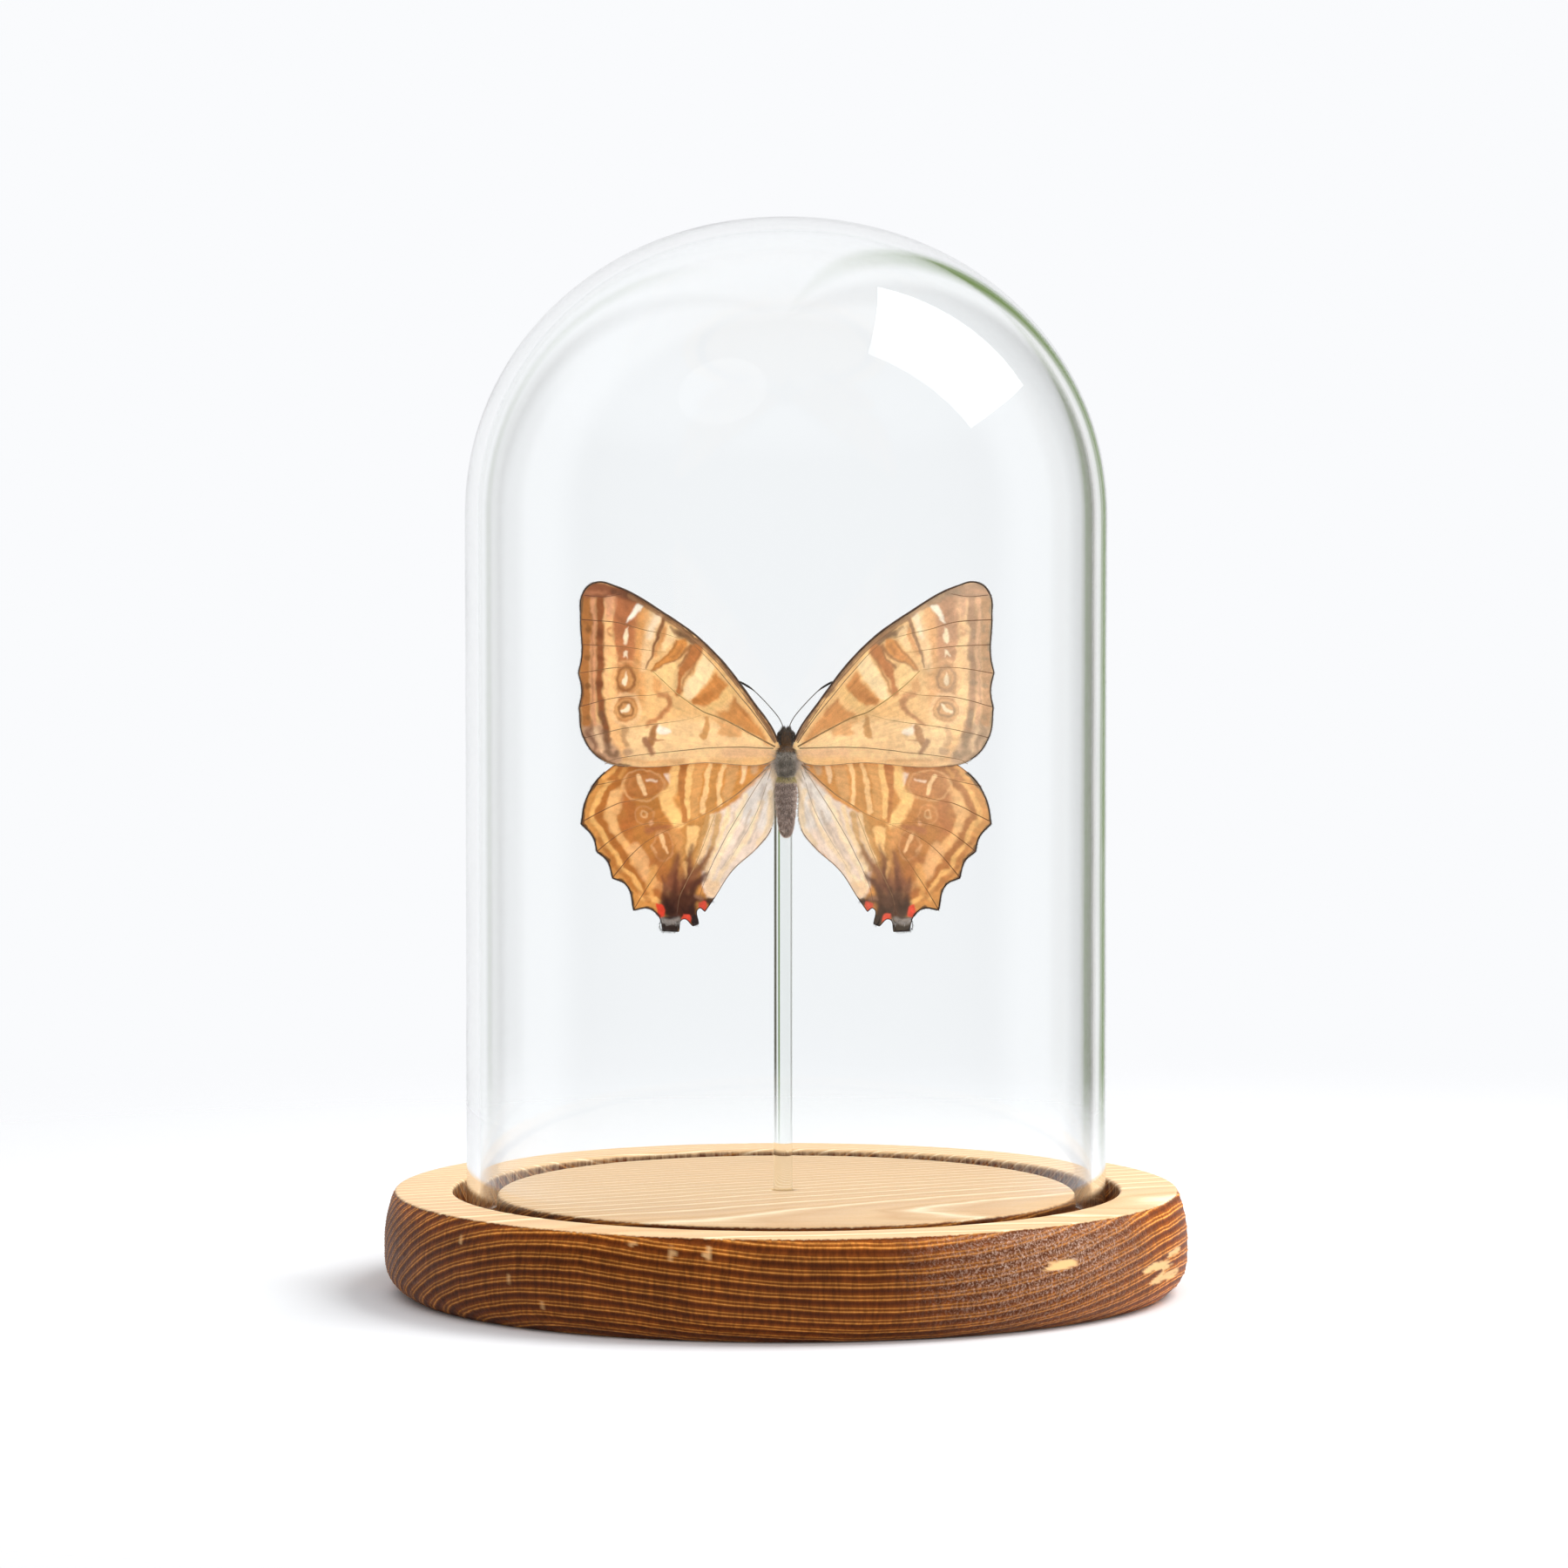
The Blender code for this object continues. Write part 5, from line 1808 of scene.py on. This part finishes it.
@dataclass
class Hindwing(Wing):
    """A hindwing, which also has long pale hair along its inner margin and tufted tails."""

    inner: tuple[int, int] = (21, 25)

    def tuft(
        self, label: str, places: Sequence[Point2], lean: Point3, finish: InsectHair, density: float,
        length: float,
    ) -> None:
        """Grows a tuft on a run of places on the wing.

        Args:
            label: Ending of the piece's name.
            places: The run's corners.
            lean: Which way the hair leans, as out, up and towards the viewer.
            finish: The hair's finish.
            density: Hairs for each square millimetre of the strip, which is 0.1 mm wide.
            length: Length of the hair in millimetres.
        """
        route = smooth_path(places, 6)
        Coat(finish, density, length, 0.035, 0.35, 2.5).grow(
            f"{self.name}_{label}", self.strip(route, np.tile(lean, (len(route), 1))), self.seed + 5,
            "wing_scales", "Tuft of hair scales",
        )

    def dress_hair(self, edge: Array) -> None:
        """Grows the fringe, the inner margin's hair and the tails' tufts."""
        super().dress_hair(edge)
        route = self.stretch(edge, *self.inner)
        lean = self.outward(route) * 0.8 + np.array((0.0, -0.6, 0.0))
        size = 0.35 + 0.65 * smoothstep(-26.0, -10.0, route[:, 1])
        finish = InsectHair("inner_margin_hair", "#6F5638", "#B59468", "#E6D6BC")
        Coat(finish, 140.0, 0.5, 0.03, 0.35).grow(
            f"{self.name}_inner_hair", self.strip(route, lean, size), self.seed + 2, "wing_scales",
            "Long hair on the inner margin",
        )
        black = InsectHair("tail_hair_black", "#15100E", "#2B211D", "#5A4C45")
        frost = InsectHair("tail_hair_frost", "#5E544E", "#A69C96", "#E4DEDA")
        self.tuft(
            "tail_black", ((23.1, -33.0), (22.6, -33.8), (21.4, -34.0), (20.4, -33.9), (20.0, -32.8)),
            (0.0, -1.0, 0.2), black, 260.0, 0.7,
        )
        self.tuft(
            "tail_side", ((23.2, -31.8), (23.4, -33.4), (22.6, -34.2)), (0.5, -0.7, 0.2), black, 200.0, 0.6,
        )
        self.tuft(
            "tail_frost", ((23.2, -31.6), (22.2, -32.5), (21.2, -32.0), (20.2, -32.6), (19.7, -31.8)),
            (0.0, -1.0, 0.5), frost, 170.0, 0.9,
        )
        self.tuft(
            "second_tail", ((17.5, -31.6), (17.1, -32.7), (16.6, -32.8), (16.4, -32.0)), (-0.2, -1.0, 0.2),
            black, 220.0, 0.7,
        )
        self.tuft(
            "anal_nub", ((15.0, -28.4), (14.2, -28.6), (13.6, -28.6)), (-0.5, -1.0, 0.2), black, 200.0, 0.6,
        )
        self.tuft(
            "root_down", ((4.6, -1.0), (3.4, -2.2), (3.2, -3.6), (3.6, -5.2)), (0.9, -0.5, 0.45),
            InsectHair("root_down", "#8E7C6C", "#CDBFB2", "#F1E9E2"), 90.0, 1.8,
        )


# --- Body


GREY_HAIR = InsectHair("body_hair_grey", "#5B5147", "#9F9385", "#DDD3C6")
TAN_HAIR = InsectHair("abdomen_hair", "#5A453C", "#B0968A", "#F2DFD0")
BROWN_HAIR = InsectHair("collar_hair_brown", "#42301D", "#84592E", "#BC8C52")
DARK_HAIR = InsectHair("head_hair_dark", "#16110E", "#3C2F25", "#77654E")
WAIST_HAIR = InsectHair("waist_hair_yellow", "#8A7A45", "#C0AD68", "#E6DBA6")
ROOT_HAIR = InsectHair("wing_root_down", "#85746A", "#C6B4A8", "#F2E8E0")


@dataclass
class InsectBody:
    """Head, thorax and abdomen: three hard capsules under dry hair, with eyes, palps and a coiled tongue."""

    thorax_half: Point3 = (1.95, 2.1, 3.35)
    thorax_drop: float = 2.25
    head_half: Point3 = (1.5, 1.35, 1.45)
    head_rise: float = 2.05
    abdomen_top: float = -5.0
    abdomen_length: float = 11.4
    abdomen_radius: float = 1.93
    abdomen_rings: int = 8
    shell: Chitin = field(default_factory=lambda: Chitin("body_shell", "#2A211B", "#5C4E42"))
    eye: Chitin = field(default_factory=lambda: Chitin("compound_eye", "#120D0B", "#2E2019", 0.07, 0.3))

    def coat(self, name: str, skin: Skin, flow: Point3, coat: Coat, seed: int,
             keep: Callable[[Array], Array], tone: Callable[[Array], Array] | None = None) -> None:
        """Grows hair on part of a capsule.

        Args:
            name: Name of the hair.
            skin: The capsule.
            flow: Direction that the hair is combed in, beside the surface's own normal.
            coat: The hair.
            seed: Picks the hairs.
            keep: Length of the hair as a share, from places relative to the wing joint.
            tone: How pale the hair is, from the same places. Cloudy when it is left out.
        """
        places = skin.points - BODY_CENTRE
        size = np.clip(keep(places), 0.0, 1.0)
        shade = 0.5 + 0.3 * layered_noise(places, 0.8, seed) if tone is None else tone(places)
        faces = [face for face in skin.faces if min(size[list(face)]) > 0.02]
        lean = point_normals(skin) * 0.75 + np.array(flow)
        host = Skin(skin.points, faces, {"lean": lean, "size": size, "shade": np.clip(shade, 0.05, 0.95)})
        coat.grow(name, host.mesh("skin"), seed, "body_hair", "Dry hair")

    def abdomen(self) -> Skin:
        """Ringed, tapering and slightly sunken as it dries."""
        shares = (
            (0.0, 0.0), (0.01, 0.6), (0.07, 0.9), (0.2, 1.0), (0.45, 0.97), (0.7, 0.82), (0.88, 0.6),
            (0.965, 0.36), (1.0, 0.0),
        )
        route = smooth_path(shares, 14)
        along, width = np.clip(route[:, 0], 0, 1), np.clip(route[:, 1], 0, None)
        groove = 1 - 0.08 * np.exp(-(((along * self.abdomen_rings) % 1.0 - 0.5) / 0.16) ** 2)
        profile = np.column_stack(
            (self.abdomen_radius * width * groove, self.abdomen_top - self.abdomen_length * along),
        )
        profile[[0, -1], 0] = 0.0
        skin = turned(profile, 48)
        squash = 1 + 0.05 * layered_noise(skin.points, 2.2, 91)
        skin.points[:, :2] *= squash[:, None] * np.array((1.0, 0.94))
        skin.points += BODY_CENTRE
        return skin

    def dress_thorax(self) -> None:
        """Makes the thorax: grey plates, brown collar, dark patches before the wings and at their roots."""
        skin = ovoid(BODY_CENTRE - (0, 0, self.thorax_drop), self.thorax_half, 56, 44, 0.05, 12)
        show_skin("thorax_shell", skin, self.shell, ("thorax",), "Thorax")
        down = (0.0, -0.1, -0.9)

        def plates(p: Array) -> Array:
            """Pale at the shoulders and low down, dark between the plates."""
            cloud = 0.42 + 0.75 * layered_noise(p, 0.75, 61)
            shoulder = 0.35 * smoothstep(0.8, 1.5, np.abs(p[:, 0])) * smoothstep(-3.4, -1.0, p[:, 2])
            seam = np.exp(-(((p[:, 2] + 2.3) / 0.35) ** 2)) + np.exp(-(((p[:, 2] + 4.5) / 0.22) ** 2))
            return cloud + shoulder - 0.5 * seam * smoothstep(1.5, 0.5, np.abs(p[:, 0]))

        self.coat(
            "thorax_hair", skin, down, Coat(GREY_HAIR, 74.0, 0.55, 0.038, 0.4), 3,
            lambda p: 0.65 + 0.35 * smoothstep(0.2, -1.5, p[:, 2]), plates,
        )
        self.coat(
            "collar_hair", skin, (0.0, -0.2, -0.8), Coat(BROWN_HAIR, 80.0, 0.85), 4,
            lambda p: smoothstep(-0.9, 0.3, p[:, 2] + 0.3 * layered_noise(p, 0.8, 5)),
        )
        self.coat(
            "shoulder_hair", skin, (0.0, -0.3, -0.7), Coat(DARK_HAIR, 90.0, 0.75), 14,
            lambda p: smoothstep(0.95, 1.25, np.abs(p[:, 0])) * smoothstep(-1.1, -0.4, p[:, 2]),
        )
        self.coat(
            "root_hair", skin, (0.0, -0.25, -0.12), Coat(ROOT_HAIR, 24.0, 2.0, 0.03, 0.5), 15,
            lambda p: smoothstep(
                1.2, 1.65, np.abs(p[:, 0]),
            ) * smoothstep(-4.4, -3.2, p[:, 2]) * smoothstep(0.6, -0.2, p[:, 2])
            * smoothstep(1.2, 0.2, p[:, 1]),
        )

    def dress_abdomen(self) -> None:
        """Makes the abdomen: a yellowish waist, then rings of speckled hair that is darker in each groove."""
        skin = self.abdomen()
        show_skin("abdomen_shell", skin, self.shell, ("abdomen",), "Ringed abdomen")
        top = self.abdomen_top

        def rings(p: Array) -> Array:
            """Paler at the back edge of each ring, and speckled towards the tip."""
            turn = ((top - p[:, 2]) / self.abdomen_length * self.abdomen_rings) % 1.0
            speckle = (0.4 + 0.25 * smoothstep(top - 4, top - 9, p[:, 2])) * layered_noise(p, 0.5, 71)
            return 0.46 + 0.15 * np.cos((turn + 0.15) * math.tau) + speckle + 0.2 * smoothstep(
                1.0, 1.7, np.abs(p[:, 0]),
            )

        self.coat(
            "abdomen_hair", skin, (0.0, 0.0, -1.3), Coat(TAN_HAIR, 78.0, 0.42, 0.038), 5,
            lambda p: 0.8 + 0.2 * smoothstep(top - 6, top - 10, p[:, 2]), rings,
        )
        self.coat(
            "waist_hair", skin, (0.0, 0.0, -0.9), Coat(WAIST_HAIR, 70.0, 0.6), 6,
            lambda p: smoothstep(top - 1.5, top - 0.6, p[:, 2]),
        )

    def dress_head(self) -> None:
        """Makes the head with its eyes, palps and coiled tongue."""
        centre = BODY_CENTRE + (0.0, 0.0, self.head_rise)
        skin = ovoid(centre, self.head_half, 48, 36, 0.05, 21)
        show_skin("head_shell", skin, self.shell, ("head",), "Head")
        self.coat(
            "head_hair", skin, (0.0, -0.15, 0.35), Coat(DARK_HAIR, 95.0, 0.65, 0.034, 0.55), 7,
            lambda p: 1 - 0.7 * smoothstep(0.9, 1.4, np.abs(p[:, 0])),
        )
        self.coat(
            "crown_hair", skin, (0.0, -0.4, -0.5), Coat(BROWN_HAIR, 95.0, 0.7, 0.034, 0.45), 8,
            lambda p: smoothstep(
                1.05, 0.5, np.abs(p[:, 0]),
            ) * smoothstep(0.3, -0.4, p[:, 1]) * smoothstep(3.4, 2.8, p[:, 2]),
        )
        for side in Side:
            sign = side.value
            eye = ovoid(centre + (sign * 1.15, -0.3, 0.45), (0.6, 0.85, 0.85), 40, 28, 0.01, 5)
            show_skin(f"eye_{side.word}", eye, self.eye, (), "Faceted eye")
            palp = ovoid(centre + (sign * 0.5, -0.1, 1.3), (0.24, 0.28, 0.75), 24, 20, 0.06, 8)
            show_skin(f"palp_{side.word}", palp, self.shell, (), "Palp")
            self.coat(
                f"palp_hair_{side.word}", palp, (sign * 0.12, -0.1, 1.0), Coat(DARK_HAIR, 120.0, 0.5, 0.03),
                9, lambda p: np.ones(len(p)),
            )
        turn = np.linspace(0.0, 4.4 * math.pi, 90)
        size = 0.62 * (1 - turn / turn[-1] * 0.72)
        coil = centre + np.column_stack((np.zeros(90), 1.5 + size * np.cos(turn), 0.1 + size * np.sin(turn)))
        tones = np.tile(linear("#3A2517"), (90, 1))
        tongue = Tubes().grow(
            "coiled_tongue", path_mesh("tongue_route", [(coil, np.linspace(0.1, 0.05, 90), tones)]),
            WingVein("wing_vein"), Sides=8,
        )
        show(tongue, (), "Coiled tongue")

    def dress(self) -> None:
        """Makes the capsules and their hair and shows them in place of their CAD nodes."""
        self.dress_thorax()
        self.dress_abdomen()
        self.dress_head()


@dataclass
class Limbs:
    """Clubbed, ringed antennae and six folded, spined legs."""

    antenna_route: tuple[Point3, ...] = (
        (0.45, -0.5, 3.3), (0.75, -0.8, 4.6), (1.55, -1.0, 6.1), (3.2, -1.3, 8.1), (5.2, -1.4, 10.2),
        (6.6, -1.4, 11.4), (8.6, -1.3, 12.6),
    )
    antenna_radius: float = 0.085
    club_radius: float = 0.2
    antenna_rings: int = 34
    leg_radius: float = 0.17

    def antenna(self, side: Side) -> None:
        """Makes one antenna, thin and ringed, with a long club."""
        places = np.array(self.antenna_route) * (side.value, 1, 1) + BODY_CENTRE
        route = smooth_path(places, 30)
        share = np.linspace(0.0, 1.0, len(route))
        club = smoothstep(0.72, 0.9, share) * (1 - 0.55 * smoothstep(0.955, 1.0, share))
        radius = self.antenna_radius + (self.club_radius - self.antenna_radius) * club
        radius = radius * (1 + 0.12 * np.sin(share * self.antenna_rings * math.tau))
        tones = np.array(
            linear("#4B4238"),
        ) * (1 - club[:, None]) + np.array(linear("#1B1512")) * club[:, None]
        piece = Tubes().grow(
            f"antenna_{side.word}_shaft", path_mesh("antenna_route", [(route, radius, tones)]),
            WingVein("wing_vein"), Sides=12,
        )
        show(piece, (f"antenna_{side.word}",), "Clubbed antenna")

    def leg(self, side: Side, row: int, word: str) -> None:
        """Makes one folded leg: thigh, shin and foot with small spines."""
        height = -(1.2 + 1.5 * row)
        knee = 5.0 - 0.7 * row
        places = np.array(
            (
                (1.5, 1.9, height), (knee, 2.9, height + 0.5), (knee - 0.3, 3.6, height - 2.9),
                (knee - 0.9, 3.8, height - 5.6),
            ),
        ) * (side.value, 1, 1) + BODY_CENTRE
        paths = []
        for part, (start, end) in enumerate(zip(places[:-1], places[1:])):
            share = np.linspace(0.0, 1.0, 24)
            swell = (0.75 + 0.5 * np.sin(math.pi * np.clip(share * 1.15, 0, 1))) * (1.35, 0.9, 0.65)[part]
            rings = 1 + (0.16 * np.sin(share * 5 * math.tau) if part == 2 else 0.0)
            tones = np.tile(linear(("#4A3A2B", "#3A2C21", "#2A201A")[part]), (24, 1))
            paths.append((start + (end - start) * share[:, None], self.leg_radius * swell * rings, tones))
            across = np.array((side.value * 0.5, 0.35, -0.3))
            for spine in np.linspace(0.15, 0.9, 7)[: 0 if part == 0 else 7]:
                foot = start + (end - start) * spine
                flip = across * (1 if int(spine * 20) % 2 else -1) + np.array((0.0, 0.1, -0.25))
                paths.append((np.array((foot, foot + flip * 0.55)), np.array((0.035, 0.01)), tones[:2]))
        name = f"leg_{word}_{side.word}"
        piece = Tubes().grow(f"{name}_limb", path_mesh("leg_route", paths), WingVein("wing_vein"), Sides=8)
        show(piece, (name,), "Folded leg")

    def dress(self) -> None:
        """Makes the antennae and legs and shows them in place of their CAD nodes."""
        for side in Side:
            self.antenna(side)
            for row, word in enumerate(("front", "middle", "hind")):
                self.leg(side, row, word)


# --- Studio


@dataclass(frozen=True)
class Lamp:
    """A soft area light, aimed at a point of the dome. Lengths are in metres."""

    name: str
    direction: Point3
    distance: float
    size: Point2
    radiance: float
    round: bool = False
    reflected: bool = True
    aim: Point3 = (0.0, 0.0, 0.13)

    def hang(self) -> None:
        """Adds the light to the scene."""
        area = self.size[0] * self.size[1] * (math.pi / 4 if self.round else 1.0)
        data = bpy.data.lights.new(self.name, "AREA")
        data.shape = "ELLIPSE" if self.round else "RECTANGLE"
        data.size, data.size_y = self.size
        data.energy = self.radiance * math.pi * area
        made = bpy.data.objects.new(self.name, data)
        bpy.context.scene.collection.objects.link(made)
        way = Vector(self.direction).normalized()
        made.location = Vector(self.aim) + way * self.distance
        made.rotation_euler = (-way).to_track_quat("-Z", "Y").to_euler()
        made.visible_camera = False
        made.visible_glossy = self.reflected
        made.visible_transmission = False


@dataclass
class Studio:
    """Plain pale floor, bright even backdrop, soft lights and the camera. Lengths are in metres."""

    around: tuple[tuple[float, str], ...] = (  # degrees right of straight behind, and what stands there
        (-180, "#5E5F62"), (-98, "#5E5F62"), (-86, "#FAFBFD"), (-58, "#FAFBFD"), (-54, "#A19F9C"), (-45, "#A8A6A3"),
        (-41, "#FAFBFD"), (12, "#FAFBFD"), (14, "#7F9560"), (20, "#7F9560"), (22.5, "#FAFBFD"), (30, "#F4F4F2"),
        (34, "#4C4334"), (54, "#54503C"), (60, "#F4F4F2"), (86, "#FAFBFD"), (98, "#5E5F62"), (180, "#5E5F62"),
    )
    lens: float = 202.6  # millimetres
    camera_place: Point3 = (-0.0004, -1.636, 0.2231)
    camera_tilt: float = 4.49  # degrees below level
    floor_radius: float = 3.0
    lamps: tuple[Lamp, ...] = (
        Lamp("window_softbox", (0.64, 0.08, 0.72), 1.0, (0.7, 0.72), 7.0, aim=(0.0, 0.0, 0.16)),
        Lamp("round_lamp", (-0.341, -0.556, 0.757), 1.0, (0.5, 0.5), 1.6, round=True, aim=(0.0, 0.0, 0.16)),
        Lamp("front_fill", (0.25, -0.93, 0.35), 2.4, (3.0, 2.4), 2.7, reflected=False),
    )

    def world(self) -> None:
        """White behind the object, with dark strips out of view that the glass bends into its edges."""
        made = bpy.data.worlds.new("studio")
        bpy.context.scene.world = made
        made.use_nodes = True
        tree = made.node_tree
        tree.nodes.clear()
        way = add_node(tree, "ShaderNodeTexCoord").outputs["Generated"]
        split = add_node(tree, "ShaderNodeSeparateXYZ", {0: way})
        turn = sums(tree, "ARCTAN2", split.outputs["X"], split.outputs["Y"])
        share = sums(tree, "MULTIPLY_ADD", turn, 1 / math.tau, 0.5)
        colour = ramp(tree, share, tuple((0.5 + degrees / 360, tone) for degrees, tone in self.around))
        glow = add_node(tree, "ShaderNodeBackground", {"Color": colour, "Strength": 1.0}).outputs[0]
        add_node(tree, "ShaderNodeOutputWorld", {"Surface": glow})

    def floor(self) -> None:
        """A round pale board under the object."""
        ring = [
            (math.cos(a) * self.floor_radius, math.sin(a) * self.floor_radius, -0.0002)
            for a in np.linspace(0, math.tau, 96, endpoint=False)
        ]
        mesh = bpy.data.meshes.new("studio_floor")
        mesh.from_pydata(ring, [], [tuple(range(len(ring)))])
        place("studio_floor", mesh, PlainFloor("pale_board").material())

    def camera(self) -> None:
        """A long lens, a little above the butterfly and looking slightly down."""
        data = bpy.data.cameras.new("camera")
        data.lens = self.lens
        data.sensor_width = 36.0
        data.clip_end = 30.0
        made = bpy.data.objects.new("camera", data)
        bpy.context.scene.collection.objects.link(made)
        made.location = self.camera_place
        made.rotation_euler = (math.radians(90 - self.camera_tilt), 0.0, 0.0)
        bpy.context.scene.camera = made

    def build(self) -> None:
        """Makes the whole studio."""
        bpy.context.scene.view_settings.view_transform = "Standard"
        self.world()
        self.floor()
        for lamp in self.lamps:
            lamp.hang()
        self.camera()


FOREWING_OUTLINE: tuple[tuple[bool, float, float], ...] = (
    (False, 1.5, 0.9), (False, 6.3, 8.6), (False, 14.7, 18.9), (False, 23.1, 25.2), (False, 31.5, 29.9),
    (False, 35.4, 30.6), (False, 37.6, 28.6), (False, 38.0, 24.2), (False, 37.8, 17.0), (True, 38.4, 14.0),
    (False, 37.8, 10.7), (True, 38.3, 7.4), (False, 37.5, 2.0), (False, 34.2, -2.1), (False, 29.2, -3.4),
    (False, 16.0, -2.9), (False, 1.3, -1.5),
)
HINDWING_OUTLINE: tuple[tuple[bool, float, float], ...] = (
    (False, 1.5, -1.3), (False, 12.0, 0.2), (False, 25.0, -0.6), (False, 33.6, -4.6), (False, 37.0, -9.4),
    (True, 38.0, -14.1), (False, 35.8, -16.6), (True, 35.1, -19.3), (False, 33.2, -21.0),
    (True, 32.2, -24.2), (False, 29.6, -25.6), (True, 28.3, -30.2), (False, 25.6, -29.9),
    (False, 23.7, -31.4), (True, 22.9, -34.1), (True, 20.0, -34.3), (False, 19.2, -32.0),
    (True, 17.3, -33.3), (True, 16.3, -32.9), (False, 16.2, -30.0), (True, 15.1, -30.6),
    (False, 13.3, -28.0), (False, 10.0, -23.0), (False, 5.0, -18.4), (False, 2.8, -15.2),
    (False, 2.2, -8.5),
)


def butterfly_wings() -> list[Wing]:
    """The four wings, each side with its own small differences."""
    wings: list[Wing] = []
    for side in Side:
        seed = 100 + 50 * side.value
        wings.append(
            Wing(
                f"forewing_{side.word}", side, -0.5, FOREWING_OUTLINE, FOREWING_MARKS, FOREWING_VEINS,
                "#F3C586", (5, 14),
                (
                    (0, 4, 0.19, "#4A3528"), (4, 6, 0.16, "#3C2B20"), (6, 13, 0.11, "#3A2A20"),
                    (13, 16, 0.06, "#A98C6A"),
                ),
                seed, painted_sheen=0.36 if side is Side.RIGHT else 0.0,
            ),
        )
        wings.append(
            Hindwing(
                f"hindwing_{side.word}", side, 0.4, HINDWING_OUTLINE, HINDWING_MARKS, HINDWING_VEINS,
                "#D9984F", (3, 13),
                (
                    (1, 3, 0.08, "#8A5A35"), (3, 13, 0.13, "#2A1D16"), (13, 21, 0.09, "#2A1D18"),
                    (21, 24, 0.07, "#6B5545"),
                ),
                seed + 9, painted_sheen=0.3 if side is Side.RIGHT else 0.0, pleats=0.16,
            ),
        )
    return wings


def main() -> None:
    """Builds every sub-assembly in order."""
    logging.basicConfig(level=logging.INFO, format="%(name)s %(message)s")
    Studio().build()
    for part in (WoodenBase(), GlassDome(), Mount(), *butterfly_wings(), InsectBody(), Limbs()):
        part.dress()


if __name__ == "__main__":
    main()
